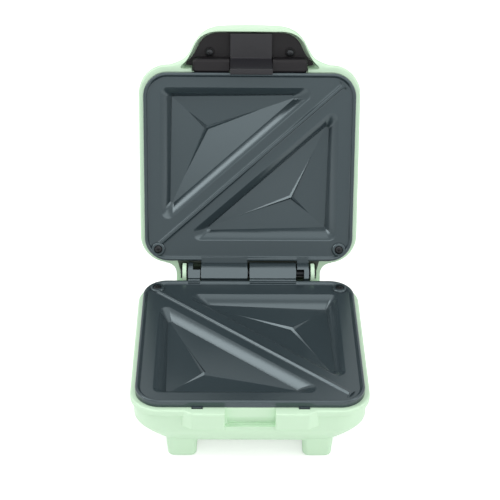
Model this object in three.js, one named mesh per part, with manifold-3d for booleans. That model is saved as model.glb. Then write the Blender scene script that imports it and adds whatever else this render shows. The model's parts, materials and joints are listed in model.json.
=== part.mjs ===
// Countertop sandwich maker with two hinged non-stick plates, standing open.
// Millimetres, +X right, +Y back, +Z up.
//
// The base and the lid are both drawn in a half frame: x to the right, y = 0 at the plate's
// rear edge and falling towards the front, z = 0 on the plate's rim, and the half's depth
// along -z. The lid's half frame is turned over the base's and then swung open on the hinge.
import * as THREE from 'three';
import { mergeVertices } from 'three/addons/utils/BufferGeometryUtils.js';
import { ConvexGeometry } from 'three/addons/geometries/ConvexGeometry.js';
import Module from 'manifold-3d';

const wasm = await Module();
wasm.setup();

// Driving dimensions of the whole object
const plateWidth = 132;
const plateLength = 120.5;
const plateCorner = 15;
const baseDepth = 33;
const lidDepth = 34;
const footHeight = 11.5;
const openAngleDegrees = 107.6;
const partingGap = 0.6;

// Clearances and overruns shared by the pieces
const clearance = 0.3;
const overrun = 1;

// Plates
const skirtHeight = 4.2;
const beadWidth = 2;
const landDrop = 1.5;
const plateWall = 2.8;
const pocketSideMargin = 10;
const pocketFrontMargin = 9.2;
const pocketRearMargin = 12.3;
const pocketCorner = 6;
const pocketWallRun = 7.4;
const pocketFloorDepth = 8.2;
const pocketStripHalf = 7.1;
const ridgeShift = 0.7;
const starHeight = 1.1;
const starNotchRadius = 3.2;
const starCentreShares = [-0.486, -0.459];
const starTipShares = [[-0.695, -0.685], [0.214, -0.752], [-0.725, 0.123]];
const ridgeHalfFoot = 2;
const ridgeHalfCrest = 0.6;
const ridgeDrop = 0.2;
const ridgeSlope = 0.892;
const plateScrewInset = 8.5;
const plateScrewSetback = 6.9;
const plateBossRadius = 4.6;
const plateTabWidth = 6;
const plateTabReach = 2.4;
const plateTabThickness = 1.6;
const lowerTabSpread = 64;
const upperTabSpread = 92;

// Shells
const shellProud = 3;
const shellFrontProud = 3.4;
const shellCorner = 18;
const shellWall = 2.5;
const rimLedgeWidth = 2;
const rimThickness = 3.5;
const lipHeight = 4;
const lipUnderRise = 1.2;
const wallSideSetIn = 1.9;
const wallFrontSetIn = 1.3;
const slopeBend = 1.3;
const slopeCornerLoss = 9.2;
const baseForm = { sides: 17.1, front: 8.7, slopeRise: 13.5, back: 10, backRise: 17 };
const lidForm = { sides: 14, front: 11, slopeRise: 25, back: 9, backRise: 15 };
const earRootDepth = 17;
const postRadius = 4;

// Hinge
const pinRadius = 2.4;
const barrelRadius = 6.7;
const barrelEdgeGap = 1.6;
const lugStart = 0.65;
const lugSplit = 30.5;
const lugEnd = 38.4;
const lugSideGap = 0.6;
const lugWebSplit = 35.4;
const earGap = 1.1;
const earThickness = 2.5;
const earStepDown = 0.5;
const hoodGap = 1.5;
const hoodWall = 2.5;
const hoodBarrelGap = 0.6;
const hoodSkin = 2.2;
const hoodFairingRise = 20;
const troughGap = 0.5;

// Screws
const screwRadius = 1.6;
const screwHeadRadius = 2.45;
const screwHeadHeight = 1.5;
const screwLength = 14;

// Heaters and reflectors
const elementRadius = 3.1;
const elementSideMargin = 26;
const elementFrontMargin = 20.5;
const elementRear = 20;
const elementBend = 9;
const elementTerminalX = 12;
const reflectorThickness = 0.8;
const reflectorSideMargin = 12;
const reflectorEndMargin = 10;
const reflectorDrop = 0.5;

// Handle
const handleHalfWidth = 58;
const handleReach = 27.3;
const handleRootProud = 1;
const handleDepth = 24;
const handleTapers = [[24, 8.2], [21.5, 5.5], [17, 3.4], [11, 1.4]];
const handleHollowTaper = 4;
const handleMouthHalf = 41.3;
const handleMouthReach = 22.2;
const handleMouthProud = 1.9;
const handleWall = 2.5;
const handleFlankShares = [
  [1, 0], [0.766, 0.154], [0.669, 0.271], [0.603, 0.476],
  [0.555, 0.663], [0.49, 0.835], [0.409, 0.938], [0.295, 1],
];
const mouthFlankShares = [
  [1, 0], [0.911, 0.188], [0.819, 0.462], [0.752, 0.709],
  [0.663, 0.879], [0.549, 0.969], [0.48, 1],
];

// Handle cover
const coverDrop = 11.6;
const coverThickness = 2;
const coverLedgeHalf = 35.4;
const coverLedgeProud = 0.8;
const coverLedgeLength = 6.9;
const coverLedgeDrop = 3.5;
const coverLedgeBevel = 3;
const coverScrewSpread = 50;
const coverScrewProud = 11.5;
const coverBossRadius = 3.1;
const coverBossHeight = 1;

// Latch
const latchHalf = 12.5;
const latchPaddleDrop = 4.6;
const latchThickness = 1.8;
const latchPaddleProud = 22.7;
const latchElbowProud = 7.8;
const latchLegProud = 2.3;
const latchLegThickness = 1.8;
const latchLegReach = 15.3;
const latchTipGap = 0.1;
const latchBarbHeight = 1.6;
const latchPivotProud = 10.5;
const latchPivotDrop = 9.2;
const latchBossRadius = 1.9;
const latchPinRadius = 0.9;
const latchLugStart = 8.4;
const latchLugWidth = 2;
const latchSlotGap = 0.8;

// Catch on the base's front
const catchBlockReach = 6.5;
const catchSideGap = 1.9;
const catchBlockWidth = 24.6;
const catchBlockTaper = 5.5;
const catchBlockHeight = 16.2;
const catchBlockChamfer = 1.6;
const catchBlockChamferRise = 2.7;
const catchFaceProud = 0.4;
const catchLipDepth = 11.6;
const catchFloorDepth = 17;
const catchWindowReach = 2.3;
const catchBackingReach = 3.7;
const catchBackingDepth = 19.5;
const catchBackingOverlap = 2.6;

// Feet
const footSideInset = 18.5;
const footWidth = 16.5;
const footLength = 16.5;
const footFrontSetback = 5.5;
const footRearSetback = 1;
const footCorner = 4;
const footSoleInset = 3.2;
const footSoleRise = 3.4;
const footDraft = 0.8;
const padRadius = 4.6;
const padThickness = 1.5;
const padProud = 0.4;

// Electrical pieces
const thermostatRadius = 7;
const thermostatNeckRadius = 3;
const thermostatBodyHeight = 7.4;
const fuseRadius = 2.4;
const fuseHalfLength = 11;
const fuseSideGap = 2.9;
const terminalHalf = 14;
const terminalFront = 26;
const terminalRear = 15;
const terminalHeadroom = 1.9;
const leadRadius = 1.8;
const leadSlotHalf = 2.2;
const leadX = 33;
const glandDrop = 21;
const glandBore = 3;
const glandNeckRadius = 4.4;
const glandFlangeRadius = 6;
const glandFlangeThickness = 2;
const glandTailLength = 8;
const glandTailRadius = 3.9;
const clampHalf = 11;
const clampWidth = 6;
const clampThickness = 2.4;
const clampStation = 11.5;
const clampPillarX = 7.5;
const clampPillarHeight = 3;
const clampPillarRadius = 2.6;
const clampScrewRadius = 1.1;
const clampScrewLength = 4.5;
const lensRadius = 3;
const lensFlangeRadius = 4.2;
const lensFlangeThickness = 1;
const lensProud = 0.8;
const lensSpread = 20;
const lensSetback = 16.5;
const holderThickness = 1.6;
const holderHalf = 19;
const holderHalfWidth = 6.5;
const lampRadius = 2.2;
const lampLength = 5;

// Worked out from the driving dimensions
const quarter = Math.PI / 2;
const plateHalf = plateWidth / 2;
const axisY = barrelRadius + barrelEdgeGap;
const axisZ = partingGap / 2;
const earRadius = barrelRadius - earStepDown;
const hoodInnerRadius = barrelRadius + hoodBarrelGap;
const hoodOuterRadius = hoodInnerRadius + hoodSkin;
const troughRadius = hoodOuterRadius + troughGap;
const shellHalf = plateHalf + shellProud;
const shellFront = -(plateLength + shellFrontProud);
const shellBack = shellProud;
const rimZ = -(skirtHeight + clearance);
const soleZ = -(baseDepth + footHeight);
const partingHeight = baseDepth + footHeight + padProud;
const patternY = -(plateLength - pocketFrontMargin + pocketRearMargin) / 2;
const pocketHalfX = plateHalf - pocketSideMargin;
const pocketHalfY = (plateLength - pocketFrontMargin - pocketRearMargin) / 2;
const screwX = plateHalf - plateScrewInset;
const elementHalfWidth = plateHalf - elementSideMargin;
const elementFront = plateLength - elementFrontMargin;
const elementZ = -(pocketFloorDepth + plateWall + clearance + elementRadius);
const reflectorZ = elementZ - elementRadius - reflectorDrop;
const earInner = lugEnd + earGap;
const earOuter = earInner + earThickness;
const hoodInner = earOuter + hoodGap;
const hoodOuter = hoodInner + hoodWall;
const catchFaceY = -(plateLength + catchFaceProud);
const catchBlockInner = latchHalf + catchSideGap;
const catchBlockOuter = catchBlockInner + catchBlockWidth;
const catchBlockFlat = catchBlockOuter - catchBlockTaper;
const catchBackingHalf = catchBlockInner + catchBackingOverlap;
const reflectorUnder = reflectorZ - reflectorThickness;
const handleRoot = plateLength + handleRootProud;
const handleMouthRoot = plateLength + handleMouthProud;
const coverLedgeRear = plateLength + coverLedgeProud;
const coverLedgeFront = coverLedgeRear + coverLedgeLength;
const coverScrewStation = plateLength + coverScrewProud;
const latchPaddleFront = plateLength + latchPaddleProud;
const latchElbow = plateLength + latchElbowProud;
const latchLegRear = plateLength + latchLegProud;
const latchLegFront = latchLegRear + latchLegThickness;
const latchTip = latchTipGap - catchFaceY;
const latchPivotStation = plateLength + latchPivotProud;
const footInner = plateHalf - footSideInset - footWidth;
const lensStation = plateLength - lensSetback;
const terminalFloor = -baseDepth + shellWall + clearance;
const terminalHeight = reflectorUnder - terminalHeadroom - terminalFloor;
const leadRunZ = (-baseDepth + shellWall + reflectorUnder) / 2;

// Mesh and solid helpers
function solid(geometry) {
  const bare = geometry.clone();
  bare.deleteAttribute('normal');
  bare.deleteAttribute('uv');
  const merged = mergeVertices(bare);
  const vertProperties = Float32Array.from(merged.attributes.position.array);
  const triVerts = Uint32Array.from(merged.index.array);
  return new wasm.Manifold(new wasm.Mesh({ numProp: 3, vertProperties, triVerts }));
}

function join(...geometries) {
  return geometries.map(asSolid).reduce((whole, part) => whole.add(part));
}

function cut(body, ...tools) {
  return tools.map(asSolid).reduce((whole, tool) => whole.subtract(tool), asSolid(body));
}

function asSolid(form) {
  return form.isBufferGeometry ? solid(form) : form;
}

function asGeometry(form) {
  if (form.isBufferGeometry) return form;
  const mesh = form.getMesh();
  const geometry = new THREE.BufferGeometry();
  geometry.setAttribute('position', new THREE.BufferAttribute(mesh.vertProperties, 3));
  geometry.setIndex(new THREE.BufferAttribute(mesh.triVerts, 1));
  geometry.computeVertexNormals();
  return geometry;
}

// A box between two corners
function box(xLow, xHigh, yLow, yHigh, zLow, zHigh) {
  const form = new THREE.BoxGeometry(xHigh - xLow, yHigh - yLow, zHigh - zLow);
  return form.translate((xLow + xHigh) / 2, (yLow + yHigh) / 2, (zLow + zHigh) / 2);
}

function postAlongZ(radius, zLow, zHigh, x, y, sides = 20) {
  const form = new THREE.CylinderGeometry(radius, radius, zHigh - zLow, sides);
  return form.rotateX(quarter).translate(x, y, (zLow + zHigh) / 2);
}

function barAlongX(radius, xLow, xHigh, y, z, sides = 28) {
  const form = new THREE.CylinderGeometry(radius, radius, xHigh - xLow, sides);
  return form.rotateZ(quarter).translate((xLow + xHigh) / 2, y, z);
}

// A turned piece about the z axis from its radius and height pairs, closed on the axis
function turned(profile, sides = 24) {
  const points = profile.map(([radius, height]) => new THREE.Vector2(radius, height));
  return new THREE.LatheGeometry(points, sides).rotateX(quarter);
}

function extrudeUp(shape, zLow, zHigh, curveSegments = 6) {
  const options = { depth: zHigh - zLow, bevelEnabled: false, curveSegments };
  return new THREE.ExtrudeGeometry(shape, options).translate(0, 0, zLow);
}

// A side profile drawn in y and z, drawn out along x
function extrudeAcross(points, xLow, xHigh) {
  const shape = new THREE.Shape(points.map(([y, z]) => new THREE.Vector2(y, z)));
  const form = new THREE.ExtrudeGeometry(shape, { depth: xHigh - xLow, bevelEnabled: false });
  const yAxis = new THREE.Vector3(0, 1, 0);
  const zAxis = new THREE.Vector3(0, 0, 1);
  const xAxis = new THREE.Vector3(1, 0, 0);
  form.applyMatrix4(new THREE.Matrix4().makeBasis(yAxis, zAxis, xAxis));
  return form.translate(xLow, 0, 0);
}

// Points of an arc in a side profile
function arcPoints(y, z, radius, startAngle, endAngle, steps) {
  return Array.from({ length: steps + 1 }, (_, step) => {
    const angle = startAngle + (endAngle - startAngle) * step / steps;
    return [y + radius * Math.cos(angle), z + radius * Math.sin(angle)];
  });
}

function roundedOutline(halfWidth, front, back, radius) {
  const shape = new THREE.Shape();
  const x = halfWidth - radius;
  shape.absarc(x, front + radius, radius, -quarter, 0, false);
  shape.absarc(x, back - radius, radius, 0, quarter, false);
  shape.absarc(-x, back - radius, radius, quarter, 2 * quarter, false);
  shape.absarc(-x, front + radius, radius, 2 * quarter, 3 * quarter, false);
  return shape;
}

function roundedRing(halfWidth, front, back, radius, z, divisions = 3) {
  return { points: roundedOutline(halfWidth, front, back, radius).getPoints(divisions), z };
}

// A closed solid through outlines of equal point counts, listed from the lowest up
function loft(rings) {
  const count = rings[0].points.length;
  const positions = rings.flatMap((ring) => ring.points.flatMap((p) => [p.x, p.y, ring.z]));
  const index = [];
  for (let level = 0; level + 1 < rings.length; level += 1) {
    for (let i = 0; i < count; i += 1) {
      const a = level * count + i;
      const b = level * count + (i + 1) % count;
      index.push(a, b, b + count, a, b + count, a + count);
    }
  }
  const top = (rings.length - 1) * count;
  for (const [a, b, c] of THREE.ShapeUtils.triangulateShape(rings[0].points, [])) {
    index.push(a, c, b);
  }
  for (const [a, b, c] of THREE.ShapeUtils.triangulateShape(rings.at(-1).points, [])) {
    index.push(top + a, top + b, top + c);
  }
  const geometry = new THREE.BufferGeometry();
  geometry.setAttribute('position', new THREE.Float32BufferAttribute(positions, 3));
  geometry.setIndex(index);
  return geometry;
}

// A round tube along a smooth route
function tube(route, radius, steps, sides = 8) {
  const section = new THREE.Shape();
  section.absarc(0, 0, radius, 0, 4 * quarter, false);
  const points = route.map(([x, y, z]) => new THREE.Vector3(x, y, z));
  const extrudePath = new THREE.CatmullRomCurve3(points, false, 'centripetal');
  return new THREE.ExtrudeGeometry(section, { extrudePath, steps, curveSegments: sides });
}

// Finishes
function finish(color, roughness, metalness) {
  return new THREE.MeshStandardMaterial({ color, roughness, metalness });
}
const mintPlastic = () => finish(0xcdeccb, 0.42, 0);
const nonStick = () => finish(0x4a5357, 0.38, 0.25);
const blackPlastic = () => finish(0x2a282c, 0.55, 0);
const latchPlastic = () => finish(0x3b3a3f, 0.45, 0);
const screwSteel = () => finish(0x2f3235, 0.4, 0.8);
const pinSteel = () => finish(0x9a9ea2, 0.3, 0.9);
const sheetSteel = () => finish(0xb8bcc0, 0.35, 0.9);
const heaterSteel = () => finish(0x6d6f70, 0.45, 0.8);
const ceramic = () => finish(0xe8e4da, 0.6, 0);
const rubber = () => finish(0x2b2b2d, 0.85, 0);
const sleeve = () => finish(0xd9d2bf, 0.8, 0);
const redLens = () => finish(0xc9342c, 0.15, 0);
const greenLens = () => finish(0x3fae57, 0.15, 0);

const object = new THREE.Group();

function add(parent, name, form, material) {
  const mesh = new THREE.Mesh(asGeometry(form), material);
  mesh.name = name;
  parent.add(mesh);
}

// Plates

// The outline of one pocket at its mouth, grown or shrunk by an offset, before its side turns
function pocketOutline(side, turn, offset) {
  const slant = Math.hypot(1, ridgeSlope);
  const edgeX = -pocketHalfX - offset;
  const edgeY = -pocketHalfY - offset;
  const strip = (pocketStripHalf - turn * ridgeShift - offset) * slant;
  const corners = [
    [edgeX, -(ridgeSlope * edgeX + strip)],
    [edgeX, edgeY],
    [-(edgeY + strip) / ridgeSlope, edgeY],
  ];
  return roundCorners(corners, pocketCorner + offset).map(([x, y]) => {
    return new THREE.Vector2(side * turn * x, patternY + turn * y);
  });
}

// Rounds the corners of a triangle listed anticlockwise, with arcs of equal point counts
function roundCorners(corners, radius) {
  const steps = 5;
  return corners.flatMap((corner, i) => {
    const here = new THREE.Vector2(...corner);
    const before = new THREE.Vector2(...corners[(i + 2) % 3]).sub(here).normalize();
    const after = new THREE.Vector2(...corners[(i + 1) % 3]).sub(here).normalize();
    const half = Math.acos(before.dot(after)) / 2;
    const inward = before.clone().add(after).normalize();
    const centre = here.clone().addScaledVector(inward, radius / Math.sin(half));
    const start = Math.atan2(-before.x, before.y) + Math.PI;
    const sweep = Math.PI - 2 * half;
    return Array.from({ length: steps + 1 }, (_, step) => {
      const angle = start + sweep * step / steps;
      return [centre.x + radius * Math.cos(angle), centre.y + radius * Math.sin(angle)];
    });
  });
}

// A pocket with its sloping walls
function pocketForm(side, turn, grow, topZ, drop) {
  const mouth = pocketOutline(side, turn, grow);
  const floor = pocketOutline(side, turn, grow - pocketWallRun);
  const points = [
    ...mouth.map((p) => new THREE.Vector3(p.x, p.y, topZ)),
    ...mouth.map((p) => new THREE.Vector3(p.x, p.y, -landDrop)),
    ...floor.map((p) => new THREE.Vector3(p.x, p.y, -pocketFloorDepth - drop)),
  ];
  return new ConvexGeometry(points);
}

// The raised star on a pocket's floor, three tapering arms that rise to one point
function pocketStar(side, turn) {
  const place = ([xShare, yShare]) => new THREE.Vector2(
    side * turn * xShare * pocketHalfX, patternY + turn * yShare * pocketHalfY,
  );
  const centre = place(starCentreShares);
  const tips = starTipShares.map(place);
  const bearings = tips.map((tip) => tip.clone().sub(centre).normalize());
  const foot = -pocketFloorDepth - clearance;
  return tips.map((tip, i) => {
    const notches = [1, 2].map((step) => {
      const between = bearings[i].clone().add(bearings[(i + step) % 3]).normalize();
      return centre.clone().addScaledVector(between, starNotchRadius);
    });
    const outline = [tip, ...notches, centre];
    const points = [
      ...outline.map((p) => new THREE.Vector3(p.x, p.y, foot)),
      ...[tip, ...notches].map((p) => new THREE.Vector3(p.x, p.y, -pocketFloorDepth)),
      new THREE.Vector3(centre.x, centre.y, starHeight - pocketFloorDepth),
    ];
    return new ConvexGeometry(points);
  });
}

function cuttingRidge(side) {
  const run = Math.hypot(1, ridgeSlope);
  const lowX = -pocketHalfX;
  const highX = plateHalf - beadWidth * 2;
  const length = (highX - lowX) * run;
  const foot = -landDrop - clearance;
  const lowY = patternY - ridgeSlope * lowX + ridgeShift * run;
  const profile = new THREE.Shape();
  profile.moveTo(-ridgeHalfFoot, foot);
  profile.lineTo(ridgeHalfFoot, foot);
  profile.lineTo(ridgeHalfCrest, -ridgeDrop);
  profile.lineTo(-ridgeHalfCrest, -ridgeDrop);
  const form = new THREE.ExtrudeGeometry(profile, { depth: length, bevelEnabled: false });
  form.rotateX(quarter);
  form.rotateZ(quarter - side * Math.atan(ridgeSlope));
  if (side > 0) return form.translate(lowX, lowY, 0);
  form.rotateZ(Math.PI);
  return form.translate(-lowX, lowY, 0);
}

// The plate's hinge lugs: a wide one and, past the other half's wide lug, a narrow one
function hingeLugs() {
  const root = -beadWidth;
  const arm = (xLow, xHigh) => box(xLow, xHigh, root, axisY, -skirtHeight, 0);
  const barrel = (xLow, xHigh) => barAlongX(barrelRadius, xLow, xHigh, axisY, axisZ);
  const wideEnd = lugSplit - lugSideGap / 2;
  const narrowStart = lugSplit + lugSideGap / 2;
  const lugs = join(
    arm(lugStart, wideEnd),
    barrel(lugStart, wideEnd),
    arm(-lugEnd, -narrowStart),
    barrel(-lugEnd, -narrowStart),
  );
  const notchFront = axisY - barrelRadius * 0.57;
  const reach = axisY + barrelRadius + overrun;
  const notch = box(
    -lugWebSplit, -narrowStart + overrun, notchFront, reach, -barrelRadius - overrun, reach,
  );
  const bore = barAlongX(pinRadius + clearance, -plateHalf, plateHalf, axisY, axisZ, 24);
  return cut(lugs, notch, bore);
}

// The base plate's front tabs, which lie in the rim's slots
function plateTabs() {
  return [-1, 1].map((end) => {
    const x = end * lowerTabSpread / 2;
    return box(
      x - plateTabWidth / 2, x + plateTabWidth / 2,
      -plateLength - plateTabReach, -plateLength + beadWidth * 2,
      -skirtHeight - plateTabThickness, -skirtHeight + clearance,
    );
  });
}

// The lid plate's front hooks, which reach under the rim's ledge
function plateHooks() {
  const toe = rimZ - rimThickness - clearance;
  const heel = -plateLength + beadWidth + clearance;
  return [-1, 1].flatMap((end) => {
    const x = end * upperTabSpread / 2;
    const leg = box(
      x - plateTabWidth / 2, x + plateTabWidth / 2,
      heel, heel + beadWidth, toe - plateTabThickness, -skirtHeight + clearance,
    );
    const foot = box(
      x - plateTabWidth / 2, x + plateTabWidth / 2,
      heel - plateTabReach + wallFrontSetIn, heel + beadWidth, toe - plateTabThickness, toe,
    );
    return [leg, foot];
  });
}

function cookingPlate(side, tabs) {
  const body = extrudeUp(roundedOutline(plateHalf, -plateLength, 0, plateCorner), -skirtHeight, 0);
  const land = extrudeUp(
    roundedOutline(
      plateHalf - beadWidth, -plateLength + beadWidth, -beadWidth, plateCorner - beadWidth,
    ),
    -landDrop, overrun,
  );
  const bosses = [-1, 1].map((end) => {
    return postAlongZ(plateBossRadius, -skirtHeight, 0, end * screwX, -plateScrewSetback);
  });
  const holes = [-1, 1].flatMap((end) => {
    const x = end * screwX;
    const headSeat = -ridgeDrop - screwHeadHeight - clearance;
    return [
      postAlongZ(screwRadius + clearance, -baseDepth, overrun, x, -plateScrewSetback),
      postAlongZ(screwHeadRadius + clearance, headSeat, overrun, x, -plateScrewSetback),
    ];
  });
  const under = [-1, 1].map((turn) => {
    return pocketForm(side, turn, plateWall / 2, -skirtHeight + clearance, plateWall);
  });
  const pockets = [-1, 1].map((turn) => pocketForm(side, turn, 0, overrun, 0));
  const blank = join(cut(body, land), cuttingRidge(side), ...bosses, ...under, ...tabs);
  const stars = [-1, 1].flatMap((turn) => pocketStar(side, turn));
  return join(cut(blank, ...pockets, ...holes), ...stars, hingeLugs());
}

// A plate's fixing screw
function plateScrew(x) {
  const headZ = -ridgeDrop;
  const seat = headZ - screwHeadHeight;
  const form = turned([
    [0, seat - screwLength], [screwRadius, seat - screwLength + screwRadius],
    [screwRadius, seat], [screwHeadRadius, seat], [screwHeadRadius, headZ - clearance],
    [screwHeadRadius - clearance, headZ], [0, headZ],
  ], 16);
  return form.translate(x, -plateScrewSetback, 0);
}

// Shells

// How far the front of a half slopes in at a height above its bottom, as a share of the whole slope
function slopeShare(form, height) {
  return Math.max(0, 1 - height / form.slopeRise) ** slopeBend;
}

// The bowl of a half: the walls are set in under a lip, the front and the sides slope in to a flat
// bottom, and the rear turns in by a quarter of an ellipse
function bowlRings(offset, depth, form, topZ) {
  const steps = 6;
  const wallRing = (z) => {
    const height = z + depth;
    const share = slopeShare(form, height);
    const turn = Math.max(0, 1 - height / form.backRise);
    const front = wallFrontSetIn + form.front * share;
    const back = form.back * (1 - Math.sqrt(1 - turn ** 2));
    return roundedRing(
      shellHalf - offset - wallSideSetIn - form.sides * share, shellFront + offset + front,
      shellBack - offset - back, shellCorner - offset - slopeCornerLoss * share, z,
    );
  };
  const rise = Math.max(form.slopeRise, form.backRise);
  const rings = Array.from({ length: steps + 1 }, (_, step) => {
    return wallRing(-depth + offset + (rise - offset) * step / steps);
  });
  if (offset) return [...rings, wallRing(topZ)];
  const lipRing = (z) => roundedRing(shellHalf, shellFront, shellBack, shellCorner, z);
  return [
    ...rings, wallRing(topZ - lipHeight - lipUnderRise), lipRing(topZ - lipHeight), lipRing(topZ),
  ];
}

// Bowl with its hollow, the ledge under the plate's skirt and the posts for the plate screws
function bowl(depth, form) {
  const outer = loft(bowlRings(0, depth, form, rimZ));
  const hollow = loft(bowlRings(shellWall, depth, form, rimZ - rimThickness));
  const mouth = extrudeUp(
    roundedOutline(
      plateHalf - rimLedgeWidth, -plateLength + rimLedgeWidth, -rimLedgeWidth,
      plateCorner - rimLedgeWidth,
    ),
    rimZ - rimThickness - overrun, overrun,
  );
  const floor = -depth + shellWall / 2;
  const posts = [-1, 1].map((end) => {
    return postAlongZ(postRadius, floor, rimZ, end * screwX, -plateScrewSetback);
  });
  const supports = supportPlaces().map(([x, y]) => {
    return postAlongZ(postRadius, floor, reflectorUnder - clearance, x, y, 12);
  });
  const holes = [-1, 1].map((end) => {
    const bottom = rimZ - screwLength - clearance;
    return postAlongZ(
      screwRadius + clearance, bottom, overrun, end * screwX, -plateScrewSetback, 12,
    );
  });
  const fitted = join(...posts, ...supports).intersect(asSolid(outer));
  return cut(join(cut(outer, hollow, mouth), fitted), ...holes);
}

// Slots in the rim for the plate's front tabs
function tabSlots() {
  return [-1, 1].map((end) => {
    const x = end * lowerTabSpread / 2;
    const half = plateTabWidth / 2 + clearance;
    return box(
      x - half, x + half,
      -plateLength - plateTabReach - clearance, -plateLength + beadWidth * 2 + clearance,
      rimZ - plateTabThickness - clearance, overrun,
    );
  });
}

// The slot behind the plate where the leads leave a half for the hinge
function leadSlot(x) {
  return box(
    x - leadSlotHalf, x + leadSlotHalf, -rimLedgeWidth * 2 - overrun, axisY - earRadius,
    axisZ - troughRadius - shellWall - overrun, rimZ - rimThickness / 2,
  );
}

// Where the four posts under a reflector stand
function supportPlaces() {
  const x = elementHalfWidth;
  const front = -elementFront;
  const rear = -elementRear;
  return [[-x, front], [x, front], [-x, rear], [x, rear]];
}

// Base shell details
function catchBlocks() {
  return [-1, 1].map((end) => {
    const ring = (shrink, z) => {
      const reach = shellFront - catchBlockReach + shellFrontProud + shrink;
      const plan = [
        [catchBlockInner, catchFaceY], [catchBlockInner, reach],
        [catchBlockFlat - shrink, reach], [catchBlockOuter - shrink, shellFront],
        [catchBlockOuter - shrink, catchFaceY],
      ].map(([x, y]) => new THREE.Vector2(end * x, y));
      if (end < 0) plan.reverse();
      return { points: plan, z };
    };
    return loft([
      ring(catchBlockChamfer, -catchBlockHeight),
      ring(0, -catchBlockHeight + catchBlockChamferRise),
      ring(0, rimZ),
    ]);
  });
}

function foot(end, front) {
  const ring = (grow, z) => {
    const x = end * (footInner + footWidth / 2);
    const outline = roundedRing(
      footWidth / 2 + grow, front - grow, front + footLength + grow, footCorner + grow, z,
    );
    outline.points.forEach((p) => p.setX(p.x + x));
    return outline;
  };
  return loft([
    ring(-footSoleInset, soleZ),
    ring(-footSoleInset / 3, soleZ + footSoleRise / 3),
    ring(0, soleZ + footSoleRise),
    ring(footDraft, -baseDepth + shellWall / 2),
  ]);
}

const footFronts = [
  shellFront + wallFrontSetIn + baseForm.front - overrun, -footRearSetback - footLength,
];

function hingeEar(end) {
  const sweepStart = -0.62 * Math.PI;
  const wallY = shellBack - shellWall;
  const outward = troughRadius + clearance;
  const points = [
    ...arcPoints(axisY, axisZ, earRadius, sweepStart, Math.PI, 14),
    [axisY - earRadius, rimZ - rimThickness],
    [wallY, rimZ - rimThickness],
    [wallY, -earRootDepth],
    [shellBack - clearance, -earRootDepth],
    [axisY + outward * Math.cos(sweepStart), axisZ + outward * Math.sin(sweepStart)],
  ];
  const xLow = end > 0 ? earInner : -earOuter;
  return extrudeAcross(points, xLow, xLow + earThickness);
}

// Fingers behind the trough that the lid's hood comes to rest on when the lid is open
function lidStops() {
  const open = THREE.MathUtils.degToRad(openAngleDegrees);
  const edge = axisZ - rimZ - clearance;
  const normal = [Math.sin(open), Math.cos(open)];
  const along = [normal[1], -normal[0]];
  const facePoint = (radius) => {
    const run = Math.sqrt(radius * radius - edge * edge);
    return [
      axisY + edge * normal[0] + run * along[0],
      axisZ + edge * normal[1] + run * along[1],
    ];
  };
  const inner = facePoint(hoodInnerRadius + clearance);
  const outer = facePoint(troughRadius);
  const wallY = shellBack - shellWall / 2;
  const points = [[wallY, inner[1]], [wallY, -earRootDepth], [shellBack, outer[1] - shellWall],
    outer, inner];
  const width = lugEnd - lugWebSplit;
  return [-1, 1].map((end) => {
    const x = end * (lugWebSplit + width / 2);
    return extrudeAcross(points, x - width / 2, x + width / 2);
  });
}

function baseShell() {
  const rearBlock = box(
    -hoodOuter, hoodOuter, -rimLedgeWidth * 2, shellBack - shellWall / 2,
    axisZ - troughRadius - shellWall, rimZ,
  );
  const trough = barAlongX(
    troughRadius, -hoodOuter - clearance * 2, hoodOuter + clearance * 2, axisY, axisZ, 40,
  );
  const backing = box(
    -catchBackingHalf, catchBackingHalf, catchFaceY, catchFaceY + catchBackingReach,
    -catchBackingDepth, rimZ,
  );
  const recess = box(
    -catchBlockInner, catchBlockInner, shellFront - catchBlockReach, catchFaceY,
    -catchFloorDepth, overrun,
  );
  const catchWindow = box(
    -catchBlockInner, catchBlockInner, catchFaceY - overrun, catchFaceY + catchWindowReach,
    -catchFloorDepth, -catchLipDepth,
  );
  const glandRing = (radius, length) => {
    const form = new THREE.CylinderGeometry(radius, radius, length, 24);
    return form.translate(0, shellBack - length / 2, -glandDrop);
  };
  const glandBoss = glandRing(glandFlangeRadius + clearance * 2, shellWall);
  const glandHole = glandRing(glandNeckRadius + clearance, shellWall * 2);
  const glandMouth = glandRing(glandNeckRadius + clearance, shellWall)
    .translate(0, shellWall, 0);
  const glandSeat = glandRing(glandFlangeRadius, shellWall * 3).translate(0, -shellWall, 0);
  const pillars = [-1, 1].map((end) => {
    return postAlongZ(
      clampPillarRadius, -baseDepth + shellWall / 2, -baseDepth + shellWall + clampPillarHeight,
      end * clampPillarX, -clampStation, 12,
    );
  });
  const pillarHoles = [-1, 1].map((end) => {
    const top = -baseDepth + shellWall + clampPillarHeight;
    return postAlongZ(
      clampScrewRadius + clearance, top - clampPillarHeight, top + overrun,
      end * clampPillarX, -clampStation, 10,
    );
  });
  const padRecesses = footPlaces().map(([x, y]) => {
    return postAlongZ(
      padRadius + clearance, soleZ - overrun, soleZ + padThickness - padProud + clearance, x, y,
    );
  });
  const feet = [-1, 1].flatMap((end) => footFronts.map((front) => foot(end, front)));
  const body = join(
    cut(bowl(baseDepth, baseForm), glandSeat), glandBoss, rearBlock,
    backing, ...catchBlocks(), ...feet, ...pillars,
  );
  const opened = cut(
    body, trough, leadSlot(leadX), recess, catchWindow, glandHole, glandMouth, ...pillarHoles,
    ...padRecesses, ...tabSlots(),
  );
  const ears = [-1, 1].map(hingeEar);
  const bore = barAlongX(pinRadius + clearance, -hoodOuter, hoodOuter, axisY, axisZ, 24);
  return cut(join(opened, ...ears, ...lidStops()), bore);
}

function footPlaces() {
  const x = footInner + footWidth / 2;
  return footFronts.flatMap((front) => {
    return [-1, 1].map((end) => [end * x, front + footLength / 2]);
  });
}

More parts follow.
